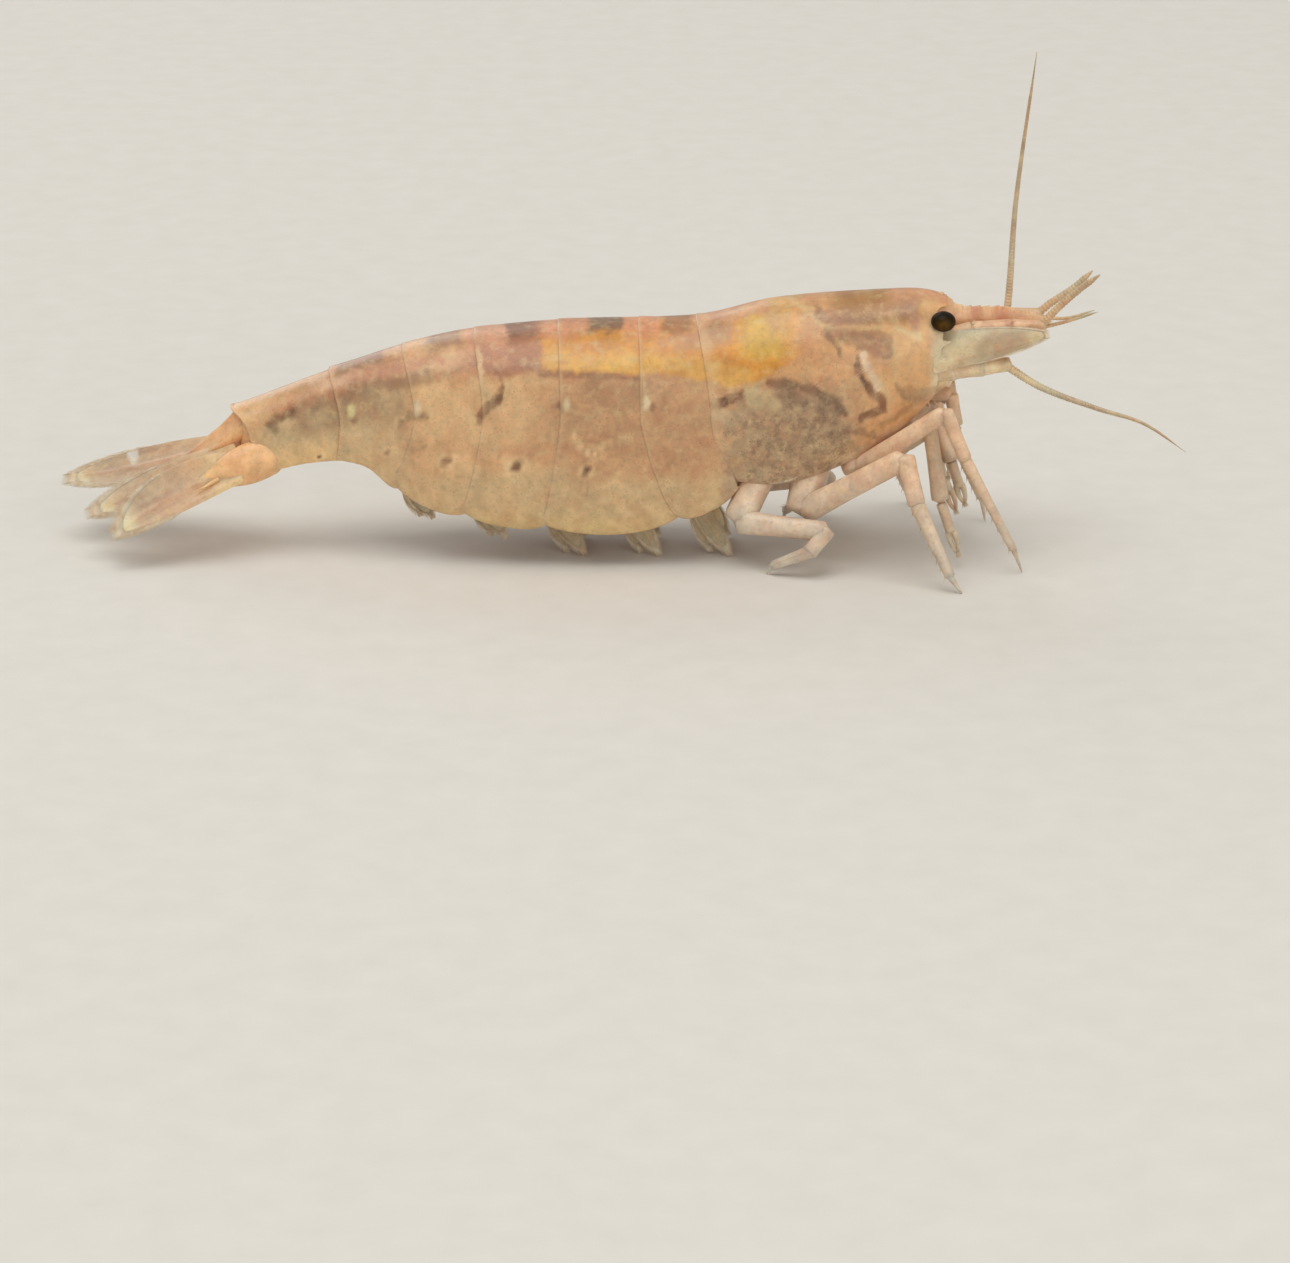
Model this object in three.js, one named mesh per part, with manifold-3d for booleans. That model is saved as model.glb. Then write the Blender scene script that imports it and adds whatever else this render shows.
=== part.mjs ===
import * as THREE from 'three';
import { mergeVertices } from 'three/addons/utils/BufferGeometryUtils.js';
import Module from 'manifold-3d';

const wasm = await Module();
wasm.setup();

// A grown female dwarf shrimp (Neocaridina davidi), standing still with her swimmerets on the ground.
// Millimetres. X points to the head, Y to her left, Z up from the ground.
// The length from the tip of the rostrum to the end of the tail fan is 28 mm.

const GAP = 0.06;             // space kept between neighbouring pieces
const PLATE = 0.55;           // thickness of the side plates
const THIN = 0.5;             // thickness of fins and feelers
const AROUND = 26;            // facets round the body
const LEG_SIDES = 7;
const FEELER_SIDES = 6;

// ---- Body: heights and half widths, as stations [x, value] ----

const BACK = profile([[-9.1, 4.2], [-6, 5.38], [-3.1, 6.24], [0, 6.6], [4, 6.78], [6, 7.25], [9.2, 7.52],
  [10.2, 7.52], [11, 7.3]]);
const HALF_WIDTH = profile([[-8.9, 0.72], [-6, 1.08], [-3, 1.7], [0.5, 2.0], [4, 1.85], [7, 1.92],
  [9.5, 1.42], [11, 0.92]]);
const FLANK = profile([[-8.9, 3.7], [-3, 4.4], [0.5, 4.5], [4, 4.3], [8, 5.0], [11, 6.0]]);
const PLEURA_EDGE = profile([[-8.9, 2.55], [-8, 2.52], [-7, 2.74], [-6, 2.84], [-5.3, 2.7], [-4.6, 2.1],
  [-3.3, 1.5], [-1.4, 1.13], [0.3, 0.98], [2, 0.98], [3.6, 1.32], [4.9, 1.95]]);
const CARAPACE_EDGE = profile([[3.9, 2.0], [6.7, 2.5], [9.1, 3.5], [11, 4.7]]);
const STERNUM = profile([[-5.9, 3.0], [0, 2.9], [4, 3.0], [6, 3.1], [8, 3.35], [9.2, 3.8], [10.3, 4.6]]);

// Where each ring of the shell meets the next: x at the back, at the hinge on the flank and at the
// lower edge
const SEAMS = [
  { back: 3.95, hinge: 4.35, edge: 4.9 },
  { back: 2.35, hinge: 2.4, edge: 3.6 },
  { back: 0.1, hinge: 0.2, edge: -0.5 },
  { back: -2.25, hinge: -1.95, edge: -2.75 },
  { back: -4.25, hinge: -3.85, edge: -4.75 },
  { back: -6.3, hinge: -5.95, edge: -6.1 },
  { back: -9.1, hinge: -8.6, edge: -8.1 },
];
const CARAPACE_FRONT = { back: 10.8, hinge: 10.6, edge: 10.4 };
const FRONT_DOME = 0.12;
const PLEURA_TUCK = 0.12;     // how far a side plate leans in at its edge, as a share of the half width
const CARAPACE_TUCK = 0.2;
const SCALLOP = 0.3;          // rise of a side plate's free edge at its corners
const RING_FLARE = 0.05;      // lip of each ring over the next
const CHANNEL = { rear: -5.75, front: 10.3, middle: 1.5, bottom: -1, sides: 8, rings: 10 };

// ---- Head ----

const ORBIT = { x: 10.78, z: 6.84, radius: 0.42 };
const EYE = { x: 10.66, y: 0.98, z: 6.93, radius: 0.37 };
const EYESTALK = {
  joints: [[10.4, 0.25, 6.5], [10.62, 0.55, 6.75], [EYE.x, EYE.y, EYE.z]],
  radii: [0.24, 0.26, 0.26],
};
const ROSTRUM = { root: 10, crest: [11.15, 7.14], tip: [13.8, 6.66], teeth: 7, tooth: 0.07, arch: 0.22 };
const ROSTRUM_UNDERSIDE = [[13.2, 6.5], [13.15, 6.58], [12.6, 6.5], [12.55, 6.58], [11.3, 6.6], [10, 6.8]];
const MOUTH = { joints: [[9.9, 0, 4.55], [10.35, 0, 4.5], [10.8, 0, 4.75]], radii: [0.42, 0.5, 0.34] };
const MAXILLIPED = {
  joints: [[10.0, 0.5, 4.75], [10.95, 0.62, 4.7], [11.15, 0.6, 3.8], [10.7, 0.5, 3.1]],
  radii: [0.26, 0.26, 0.26, 0.25],
};

// The first feelers: a stalk of three joints, a thick outer lash and a fine inner one
const ANTENNULE = {
  joints: [[10.45, 0.5, 6.2], [11.5, 0.58, 6.55], [12.6, 0.6, 6.64], [13.5, 0.6, 6.64]],
  radii: [0.3, 0.28, 0.27, 0.25],
  outer: [[13.4, 0.6, 6.7], [13.83, 0.7, 7.22], [14.4, 0.82, 7.78], [14.95, 0.95, 8.25]],
  inner: [[13.4, 0.55, 6.62], [14.2, 0.48, 6.8], [15.0, 0.45, 7.05]],
  leftDroop: 0.4,
};

// The second feelers: a stout stalk and a long lash, raised on the left and reaching forward on the right
const ANTENNA = {
  joints: [[10.3, 0.7, 5.42], [11.5, 0.95, 5.58], [12.5, 0.95, 5.68]],
  radii: [0.4, 0.32, 0.27],
  right: [[12.4, -0.95, 5.66], [13.4, -1.25, 5.1], [14.8, -2.2, 4.8], [16.0, -3.4, 4.72], [17.0, -5.0, 4.4]],
  left: [[12.45, 0.95, 5.66], [12.62, 1.02, 7.1], [12.76, 1.2, 9.8], [13.24, 1.5, 13.95]],
};
const ANTENNA_SCALE = {
  root: [10.75, 1.12, 6.04], along: [2.9, -0.05, 0.64], outward: [0, 0.75, -0.66],
  length: 2.9, base: 0.44, inner: 0.3, outer: 0.38,
};

// ---- Limbs of the left side, from the body to the tip; the right side's are mirrored ----

// A shift moves the left tip along X, and each joint above it by its share
const LEGS = {
  leg_5: {
    joints: [[6.0, 0.9, 3.3], [5.0, 1.75, 1.35], [7.45, 2.5, 1.3], [7.0, 2.75, 0.8], [6.0, 2.45, 0.3],
      [5.8, 2.35, 0]],
    shift: 0.6,
  },
  leg_4: {
    joints: [[7.2, 0.9, 3.3], [6.8, 1.65, 1.6], [9.57, 2.8, 3.53], [9.89, 3.2, 2.35], [10.82, 3.9, 0.45],
      [11.14, 4.0, 0]],
    shift: -0.9,
  },
  leg_3: {
    joints: [[8.0, 0.85, 3.5], [8.3, 1.35, 2.75], [10.7, 2.3, 4.7], [11.25, 2.4, 3.4], [12.7, 2.3, 0.65],
      [12.95, 2.2, 0]],
    shift: -0.7,
  },
};
const CHELIPEDS = {
  cheliped_2: {
    joints: [[8.85, 0.7, 3.7], [9.2, 0.95, 3.0], [10.3, 1.5, 4.1], [10.65, 1.8, 1.95], [11.2, 1.9, 0.35]],
    shift: 0.2,
  },
  cheliped_1: {
    joints: [[9.5, 0.6, 4.1], [9.75, 0.8, 3.4], [10.55, 1.1, 3.95], [10.95, 1.25, 3.0], [11.4, 1.2, 1.6]],
    shift: -0.3,
  },
};
const LEG_RADII = [0.42, 0.38, 0.3, 0.27, 0.25, 0.25];
const CHELIPED_RADII = [0.34, 0.3, 0.27, 0.3, 0.25];

// Swimmerets: x of each root, distance from the midline, and height of the tip
const SWIMMERETS = [
  { x: 3.1, y: 0.72, tip: 0 },
  { x: 1.15, y: 0.72, tip: 0 },
  { x: -0.95, y: 0.68, tip: 0 },
  { x: -2.95, y: 0.55, tip: 0.45 },
  { x: -4.75, y: 0.42, tip: 1.0 },
];
const SWIMMERET = { lean: 0.42, sunk: 0.3, radius: 0.27, broad: 1.8, shares: [0, 0.45, 0.8, 1] };

// ---- Tail fan, rolled towards her right, so that its left blades stand higher ----

const TELSON = {
  root: [-8.7, 0, 3.84], along: [-3, 0, -2.05], outward: [0, 0.97, 0.25],
  length: 3.8, base: 0.6, inner: 0.42, outer: 0.42,
};
const UROPOD_STEM = {
  joints: [[-8.0, 0.42, 3.0], [-8.75, 0.74, 2.66], [-9.7, 1.02, 2.42]],
  radii: [0.4, 0.52, 0.4],
};
const STEM_LIFT = { right: 0, left: 0.22 };
const UROPOD_INNER = {
  right: {
    root: [-9.35, 0.75, 2.95], along: [-3.8, 0.25, -1.5], outward: [0, 0.72, -0.69],
    length: 4.35, base: 0.3, inner: 0.48, outer: 0.5,
  },
  left: {
    root: [-9.35, 0.6, 2.88], along: [-4.6, 0.2, -1.2], outward: [0, 0.92, 0.38],
    length: 5.05, base: 0.3, inner: 0.5, outer: 0.5,
  },
};
const UROPOD_OUTER = {
  right: {
    root: [-9.3, 1.1, 2.56], along: [-2.85, 0.85, -1.42], outward: [0, 0.6, -0.8],
    length: 3.7, base: 0.4, inner: 0.85, outer: 0.36,
  },
  left: {
    root: [-9.3, 1.1, 2.5], along: [-4.2, 0.65, -0.82], outward: [0, 0.9, 0.43],
    length: 4.4, base: 0.35, inner: 0.7, outer: 0.55,
  },
};

const SHELL = paint(0xd49a63, 0.35);
const REAR_SHELL = paint(0xcf9c6c, 0.35);
const FIN = paint(0xe0b17c, 0.4);
const LIMB = paint(0xd9b894, 0.4);
const FEELER = paint(0xcf9a80, 0.4);
const EYE_BLACK = paint(0x1c140d, 0.15);

const shrimp = new THREE.Group();

// ---- Helpers ----

function paint(color, roughness) {
  return new THREE.MeshStandardMaterial({ color, roughness, metalness: 0 });
}

function mix(from, to, share) {
  return from + (to - from) * share;
}

// A smooth curve through stations [x, value], held level beyond its ends.
function profile(stations) {
  const last = stations.length - 1;
  const slope = k => {
    const before = stations[Math.max(k - 1, 0)];
    const after = stations[Math.min(k + 1, last)];
    return (after[1] - before[1]) / (after[0] - before[0]);
  };
  return x => {
    if (x <= stations[0][0]) return stations[0][1];
    if (x >= stations[last][0]) return stations[last][1];
    const k = stations.findIndex((station, index) => index < last && x < stations[index + 1][0]);
    const width = stations[k + 1][0] - stations[k][0];
    const t = (x - stations[k][0]) / width;
    const rise = stations[k + 1][1] - stations[k][1];
    const bend = t * (1 - t) * ((1 - t) * (slope(k) * width - rise) - t * (slope(k + 1) * width - rise));
    return stations[k][1] + rise * t + bend;
  };
}

// A manifold solid from a closed geometry, turned right side out.
function solid(geometry) {
  const bare = geometry.index ? geometry.toNonIndexed() : geometry.clone();
  bare.deleteAttribute('normal');
  bare.deleteAttribute('uv');
  const merged = mergeVertices(bare, 1e-4);
  const places = merged.attributes.position.array;
  const order = merged.index.array;
  const corner = [new THREE.Vector3(), new THREE.Vector3(), new THREE.Vector3()];
  const faces = [];
  let volume = 0;
  for (let i = 0; i < order.length; i += 3) {
    const [a, b, c] = [order[i], order[i + 1], order[i + 2]];
    if (a === b || b === c || c === a) continue;
    corner.forEach((point, k) => point.fromArray(places, 3 * order[i + k]));
    volume += corner[0].dot(corner[1].cross(corner[2]));
    faces.push([a, b, c]);
  }
  const triVerts = new Uint32Array(faces.flatMap(face => (volume < 0 ? face.reverse() : face)));
  const mesh = { numProp: 3, vertProperties: new Float32Array(places), triVerts };
  return new wasm.Manifold(new wasm.Mesh(mesh));
}

// The largest body of a cut solid, as a named mesh.
function add(name, shape, material) {
  const bodies = shape.decompose().sort((a, b) => b.volume() - a.volume());
  const { vertProperties, triVerts } = bodies[0].getMesh();
  const geometry = new THREE.BufferGeometry();
  geometry.setAttribute('position', new THREE.BufferAttribute(new Float32Array(vertProperties), 3));
  geometry.setIndex(new THREE.BufferAttribute(new Uint32Array(triVerts), 1));
  const flat = geometry.toNonIndexed();
  flat.computeVertexNormals();
  const mesh = new THREE.Mesh(flat, material);
  mesh.name = name;
  shrimp.add(mesh);
}

// A closed tube of rings. place(along, angle, out) gives each point: along runs from 0 at one end to 1,
// angle goes round from 0 at the top, and out is 0 only at the middle of the two end faces.
function lofted(around, rings, place) {
  const geometry = new THREE.CylinderGeometry(1, 1, 1, around, rings);
  const position = geometry.attributes.position;
  for (let i = 0; i < position.count; i++) {
    const out = Math.hypot(position.getX(i), position.getZ(i)) > 0.5 ? 1 : 0;
    const angle = Math.atan2(position.getX(i), position.getZ(i));
    position.setXYZ(i, ...place(position.getY(i) + 0.5, angle, out));
  }
  return solid(geometry);
}

// A tube of the given radii through the given points. A foot ends in a level ring,
// and broad widens the tube across its Y direction.
function tube(points, radii, { sides = LEG_SIDES, foot = false, broad = 1, grow = 0 } = {}) {
  const path = points.map(point => new THREE.Vector3(...point));
  const last = path.length - 1;
  const frames = [];
  let across = new THREE.Vector3(0, 1, 0);
  path.forEach((point, k) => {
    const along = path[Math.min(k + 1, last)].clone().sub(path[Math.max(k - 1, 0)]).normalize();
    if (foot && k === last) along.set(0, 0, -1);
    across = across.clone().addScaledVector(along, -across.dot(along)).normalize();
    frames.push({ point, across, up: along.clone().cross(across).multiplyScalar(broad) });
  });
  return lofted(sides, last, (along, angle, out) => {
    const k = Math.round(along * last);
    const frame = frames[k];
    const reach = out * (radii[k] + grow);
    return frame.point.clone()
      .addScaledVector(frame.across, reach * Math.sin(angle))
      .addScaledVector(frame.up, reach * Math.cos(angle))
      .toArray();
  });
}

// A jointed limb, a little slimmer between its joints. A foot's last piece runs straight to the ground.
function jointed(joints, radii, options = {}) {
  const points = [];
  const widths = [];
  joints.forEach((joint, k) => {
    points.push(joint);
    widths.push(radii[k]);
    const next = joints[k + 1];
    const straight = options.foot && k === joints.length - 2;
    if (!next || straight) return;
    points.push(joint.map((value, axis) => mix(value, next[axis], 0.5)));
    widths.push(mix(radii[k], radii[k + 1], 0.5) * 0.96);
  });
  return tube(points, widths, options);
}

// A feeler's lash through a few points, drawn as a smooth curve.
function lash(points, steps, grow) {
  const curve = new THREE.CatmullRomCurve3(points.map(point => new THREE.Vector3(...point)));
  const path = curve.getSpacedPoints(steps).map(point => point.toArray());
  return tube(path, path.map(() => THIN / 2), { sides: FEELER_SIDES, grow });
}

// A fin or scale: a flat leaf from its root, along and outward.
function leaf({ root, along, outward, length, base, inner, outer }, side, grow = 0) {
  const shape = new THREE.Shape();
  shape.moveTo(-grow, -base - grow);
  shape.bezierCurveTo(0.3 * length, -1.3 * inner - grow, 0.8 * length, -1.3 * inner - grow,
    length + grow, -0.2 * inner);
  shape.lineTo(length + grow, 0.4 * outer);
  shape.bezierCurveTo(0.8 * length, 1.25 * outer + grow, 0.35 * length, 1.2 * outer + grow,
    -grow, base + grow);
  const depth = THIN + 2 * grow;
  const geometry = new THREE.ExtrudeGeometry(shape, { depth, bevelEnabled: false, curveSegments: 6 });
  geometry.translate(0, 0, -depth / 2);
  const u = new THREE.Vector3(along[0], along[1] * side, along[2]).normalize();
  const w = u.clone().cross(new THREE.Vector3(outward[0], outward[1] * side, outward[2])).normalize();
  const v = w.clone().cross(u);
  const seat = new THREE.Matrix4().makeBasis(u, v, w).setPosition(root[0], root[1] * side, root[2]);
  geometry.applyMatrix4(seat);
  return solid(geometry);
}

// The points of a limb on the given side, with its tip shifted along X.
function onSide(points, side, shift = 0) {
  return points.map(([x, y, z], k) => [x + shift * k / (points.length - 1), y * side, z]);
}

// ---- Shell ----

// x on a seam at an angle round the body: 0 is the back, a quarter turn the hinge.
function seamAt(seam, angle) {
  const height = Math.cos(angle);
  if (height > 0) return mix(seam.hinge, seam.back, height ** 1.5);
  return mix(seam.hinge, seam.edge, (-height) ** 1.2);
}

// The body's section at x: a round back above the flank, and below it a side plate that hangs to
// its free edge, tucked in, and closes level across.
function section(x, angle, edge, tuck, grow) {
  const width = HALF_WIDTH(x) + grow;
  const flank = FLANK(x);
  const turn = Math.abs(angle) / (Math.PI / 2);
  if (turn <= 1) {
    const rise = BACK(x) + grow - flank;
    return [x, width * Math.sin(angle), flank + rise * Math.cos(angle)];
  }
  const wall = Math.min((turn - 1) / 0.75, 1);
  const floor = Math.max((turn - 1.75) / 0.25, 0);
  const y = Math.sign(angle) * width * (1 - tuck * wall ** 2) * (1 - floor);
  return [x, y, mix(flank, edge - grow, Math.sin(wall * Math.PI / 2))];
}

// A ring of the shell from its rear seam to its front seam.
function shellRing(rear, front, rings, edgeOf, tuck, { flare = 0, scallop = 0, dome = 0, grow = 0 }) {
  return lofted(AROUND, rings, (along, angle, out) => {
    const turn = out ? angle : Math.PI / 2;
    const x = mix(seamAt(rear, turn) - grow, seamAt(front, turn) + grow, along);
    if (!out) return [x + dome * (2 * along - 1), 0, FLANK(x)];
    const corner = Math.abs(2 * along - 1) ** 3;
    return section(x, turn, edgeOf(x) + scallop * corner, tuck, grow + flare * (1 - along));
  });
}

// The open channel between the side plates, below the breastplate.
function channel(grow) {
  const { rear, front, middle, bottom, sides, rings } = CHANNEL;
  return lofted(sides, rings, (along, angle, out) => {
    const x = mix(rear, front, along);
    if (!out) return [x, 0, middle];
    const half = Math.max(HALF_WIDTH(x) * (1 - PLEURA_TUCK * 0.6) - PLATE + grow, THIN / 2);
    const y = Math.sign(Math.sin(angle)) * half * Math.abs(Math.sin(angle)) ** 0.5;
    const upward = Math.cos(angle);
    const z = upward > 0 ? mix(middle, STERNUM(x) + grow, upward ** 0.5) : mix(middle, bottom, -upward);
    return [x, y, z];
  });
}

// Head and thorax in one shell, with a notch for each eye.
function carapace(grow) {
  const notch = new THREE.CylinderGeometry(ORBIT.radius - grow, ORBIT.radius - grow, 6, 16);
  notch.translate(ORBIT.x, 0, ORBIT.z);
  return shellRing(SEAMS[0], CARAPACE_FRONT, 13, CARAPACE_EDGE, CARAPACE_TUCK, { dome: FRONT_DOME, grow })
    .subtract(channel(-grow))
    .subtract(solid(notch));
}

// Rings 1 to 5 carry side plates; the sixth is a closed sleeve.
function somite(number, grow) {
  const ends = [SEAMS[number], SEAMS[number - 1]];
  if (number === 6) return shellRing(...ends, 3, PLEURA_EDGE, PLEURA_TUCK, { grow });
  return shellRing(...ends, 4, PLEURA_EDGE, PLEURA_TUCK, { flare: RING_FLARE, scallop: SCALLOP, grow })
    .subtract(channel(-grow));
}

// Each ring is cut clear of what lies in front of it.
let body = carapace(GAP);
add('carapace', carapace(0), SHELL);
for (let number = 1; number <= 6; number++) {
  add(`abdomen_${number}`, somite(number, 0).subtract(body), number < 4 ? SHELL : REAR_SHELL);
  body = body.add(somite(number, GAP));
}

// ---- Rostrum and mouth ----

// The rostrum is a thin toothed blade that runs on from the crest of the carapace.
function rostrum(grow) {
  const { root, crest, tip, teeth, tooth, arch } = ROSTRUM;
  const ridge = share => mix(crest[1], tip[1], share) + 4 * arch * share * (1 - share) ** 2;
  const blade = new THREE.Shape();
  blade.moveTo(root, crest[1] + 0.1);
  blade.quadraticCurveTo(mix(root, crest[0], 0.6), crest[1] + 0.52, ...crest);
  for (let point = 1; point <= teeth; point++) {
    const share = point / (teeth + 1);
    const x = mix(crest[0], tip[0], share);
    blade.lineTo(x, ridge(share) + tooth * (1 - share));
    blade.lineTo(x + tooth / 3, ridge(share));
  }
  blade.lineTo(...tip);
  ROSTRUM_UNDERSIDE.forEach(point => blade.lineTo(...point));
  const depth = THIN + 2 * grow;
  const geometry = new THREE.ExtrudeGeometry(blade, { depth, bevelEnabled: false, curveSegments: 4 });
  geometry.translate(0, 0, -depth / 2);
  geometry.rotateX(Math.PI / 2);
  return solid(geometry);
}

function mouthparts(grow) {
  return tube(MOUTH.joints, MOUTH.radii, { broad: 0.7, grow });
}

add('rostrum', rostrum(0).subtract(carapace(GAP)), FEELER);
add('mouthparts', mouthparts(0).subtract(body), LIMB);

// ---- The paired pieces of the head ----

function eyeball(side, grow) {
  const ball = new THREE.IcosahedronGeometry(EYE.radius + grow, 2);
  ball.translate(EYE.x, EYE.y * side, EYE.z);
  return solid(ball);
}

function antennule(side, grow) {
  const droop = side > 0 ? ANTENNULE.leftDroop : 0;
  const bent = points => onSide(points, side).map(([x, y, z], k) => [x, y, k < 2 ? z : z - droop]);
  return tube(onSide(ANTENNULE.joints, side), ANTENNULE.radii, { grow })
    .add(lash(bent(ANTENNULE.outer), 5, grow))
    .add(lash(bent(ANTENNULE.inner), 3, grow));
}

function antenna(side, grow) {
  const route = side > 0 ? ANTENNA.left : ANTENNA.right;
  return tube(onSide(ANTENNA.joints, side), ANTENNA.radii, { grow })
    .add(lash(route, 13, grow));
}

for (const [name, side] of [['right', -1], ['left', 1]]) {
  const stalk = tube(onSide(EYESTALK.joints, side), EYESTALK.radii);
  const palp = jointed(onSide(MAXILLIPED.joints, side), MAXILLIPED.radii);
  const feelers = antennule(side, GAP).add(antenna(side, GAP));
  const eyes = tube(onSide(EYESTALK.joints, side), EYESTALK.radii, { grow: GAP }).add(eyeball(side, GAP));
  add(`eye_${name}`, eyeball(side, 0), EYE_BLACK);
  add(`eyestalk_${name}`, stalk.subtract(body).subtract(rostrum(GAP)).subtract(eyeball(side, GAP)), FEELER);
  add(`antennule_${name}`, antennule(side, 0).subtract(body).subtract(eyes).subtract(rostrum(GAP)), FEELER);
  add(`antenna_${name}`, antenna(side, 0).subtract(body), FEELER);
  const scale = leaf(ANTENNA_SCALE, side).subtract(body).subtract(feelers).subtract(eyes);
  add(`antenna_scale_${name}`, scale, FIN);
  add(`maxilliped_${name}`, palp.subtract(body).subtract(mouthparts(GAP)), LIMB);
}

// ---- Legs and swimmerets ----

// Each limb is cut clear of the body and of the limbs behind it on its side.
for (const [name, side] of [['right', -1], ['left', 1]]) {
  let behind = body;
  const limb = (node, { joints, shift }, radii, foot) => {
    const route = onSide(joints, side, side > 0 ? shift : 0);
    add(`${node}_${name}`, jointed(route, radii, { foot }).subtract(behind), LIMB);
    behind = behind.add(jointed(route, radii, { grow: GAP }));
  };
  for (const [node, leg] of Object.entries(LEGS)) limb(node, leg, LEG_RADII, true);
  for (const [node, leg] of Object.entries(CHELIPEDS)) limb(node, leg, CHELIPED_RADII, false);
}

for (const [name, side] of [['right', -1], ['left', 1]]) {
  SWIMMERETS.forEach(({ x, y, tip }, index) => {
    const top = STERNUM(x) + SWIMMERET.sunk;
    const drops = SWIMMERET.shares.map(share => share * (top - tip));
    const route = drops.map(drop => [x + SWIMMERET.lean * drop, y * side, top - drop]);
    const paddle = tube(route, route.map(() => SWIMMERET.radius), { foot: true, broad: SWIMMERET.broad });
    add(`swimmeret_${index + 1}_${name}`, paddle.subtract(body), FIN);
  });
}

// ---- Tail fan ----

add('telson', leaf(TELSON, 1).subtract(body), REAR_SHELL);

for (const [name, side] of [['right', -1], ['left', 1]]) {
  const telson = leaf(TELSON, 1, GAP);
  const stemRoute = onSide(UROPOD_STEM.joints, side).map(([x, y, z]) => [x, y, z + STEM_LIFT[name]]);
  const stem = grow => tube(stemRoute, UROPOD_STEM.radii, { grow });
  const inner = grow => leaf(UROPOD_INNER[name], side, grow);
  const outer = leaf(UROPOD_OUTER[name], side);
  add(`uropod_stem_${name}`, stem(0).subtract(body).subtract(telson), REAR_SHELL);
  add(`uropod_inner_${name}`, inner(0).subtract(telson).subtract(stem(GAP)), FIN);
  add(`uropod_outer_${name}`, outer.subtract(inner(GAP)).subtract(stem(GAP)), FIN);
}

// ---- Stand the model on its own middle ----

const bounds = new THREE.Box3().setFromObject(shrimp);
const middle = bounds.getCenter(new THREE.Vector3());
shrimp.position.set(-middle.x, -middle.y, -bounds.min.z);

export default shrimp;
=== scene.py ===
import math

import bmesh
import bpy
import numpy as np
from mathutils import Matrix, Vector, noise


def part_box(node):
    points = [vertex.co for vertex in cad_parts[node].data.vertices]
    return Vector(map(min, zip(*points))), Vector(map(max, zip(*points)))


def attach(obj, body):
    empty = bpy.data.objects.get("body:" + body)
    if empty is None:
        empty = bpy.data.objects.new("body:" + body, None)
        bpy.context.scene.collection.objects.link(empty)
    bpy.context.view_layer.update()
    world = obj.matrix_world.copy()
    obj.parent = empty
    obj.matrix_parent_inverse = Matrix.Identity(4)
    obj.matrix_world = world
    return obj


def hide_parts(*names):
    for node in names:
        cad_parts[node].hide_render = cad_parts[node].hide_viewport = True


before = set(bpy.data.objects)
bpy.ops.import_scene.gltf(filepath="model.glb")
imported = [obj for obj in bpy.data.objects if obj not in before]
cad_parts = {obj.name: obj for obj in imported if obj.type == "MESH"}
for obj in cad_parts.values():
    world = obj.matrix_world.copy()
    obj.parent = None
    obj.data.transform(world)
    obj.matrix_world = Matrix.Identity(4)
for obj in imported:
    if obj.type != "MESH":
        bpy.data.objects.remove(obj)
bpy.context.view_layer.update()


# ---- The stand: floor, camera and light ----
# A broad matt card in warm white, lit by a soft sky and three large lamps, with a long lens.
# All shapes are drawn in millimetres from the specimen's own zero, under the middle of the body.

EYE_MIDDLE = Vector((10.66, 0.0, 0.0))
eye_corners = [*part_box("eye_left"), *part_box("eye_right")]
eyes_at = sum(eye_corners, Vector()) / 4
zero = Vector((eyes_at.x, eyes_at.y, 0)) - EYE_MIDDLE / 1000
to_frame = Matrix.Translation(zero) @ Matrix.Scale(0.001, 4)


def add_node(tree, kind, inputs=(), **settings):
    """A shader node with its settings; an input is a number, a colour or another node's output."""
    made = tree.nodes.new(kind)
    for name, value in settings.items():
        setattr(made, name, value)
    for name, value in dict(inputs).items():
        if isinstance(value, bpy.types.NodeSocket):
            tree.links.new(value, made.inputs[name])
        else:
            made.inputs[name].default_value = value
    return made


def paint(red, green, blue):
    """A linear colour from its screen values."""
    return tuple(v / 12.92 if v <= 0.04045 else ((v + 0.055) / 1.055) ** 2.4 for v in (red, green, blue))


def blank_material(name):
    """An empty node material and its surface output."""
    made = bpy.data.materials.new(name)
    made.use_nodes = True
    made.node_tree.nodes.clear()
    return made, made.node_tree, made.node_tree.nodes.new("ShaderNodeOutputMaterial")


card, tree, surface = blank_material("warm_card")
where = add_node(tree, "ShaderNodeTexCoord").outputs["Object"]
grain = add_node(tree, "ShaderNodeTexNoise", {"Vector": where, "Scale": 900.0, "Detail": 4.0})
tone = add_node(tree, "ShaderNodeValToRGB", {"Fac": grain.outputs["Fac"]})
tone.color_ramp.elements[0].color = (*paint(0.86, 0.85, 0.82), 1)
tone.color_ramp.elements[1].color = (*paint(0.90, 0.89, 0.87), 1)
shader = add_node(tree, "ShaderNodeBsdfPrincipled", {"Base Color": tone.outputs["Color"], "Roughness": 0.9})
tree.links.new(shader.outputs["BSDF"], surface.inputs["Surface"])

CARD_REACH = 3.0  # metres from the middle to each edge
card_bm = bmesh.new()
bmesh.ops.create_grid(card_bm, x_segments=4, y_segments=4, size=CARD_REACH)
card_mesh = bpy.data.meshes.new("floor_card")
card_bm.to_mesh(card_mesh)
card_bm.free()
floor = bpy.data.objects.new("floor_card", card_mesh)
floor.data.materials.append(card)
bpy.context.scene.collection.objects.link(floor)

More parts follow.
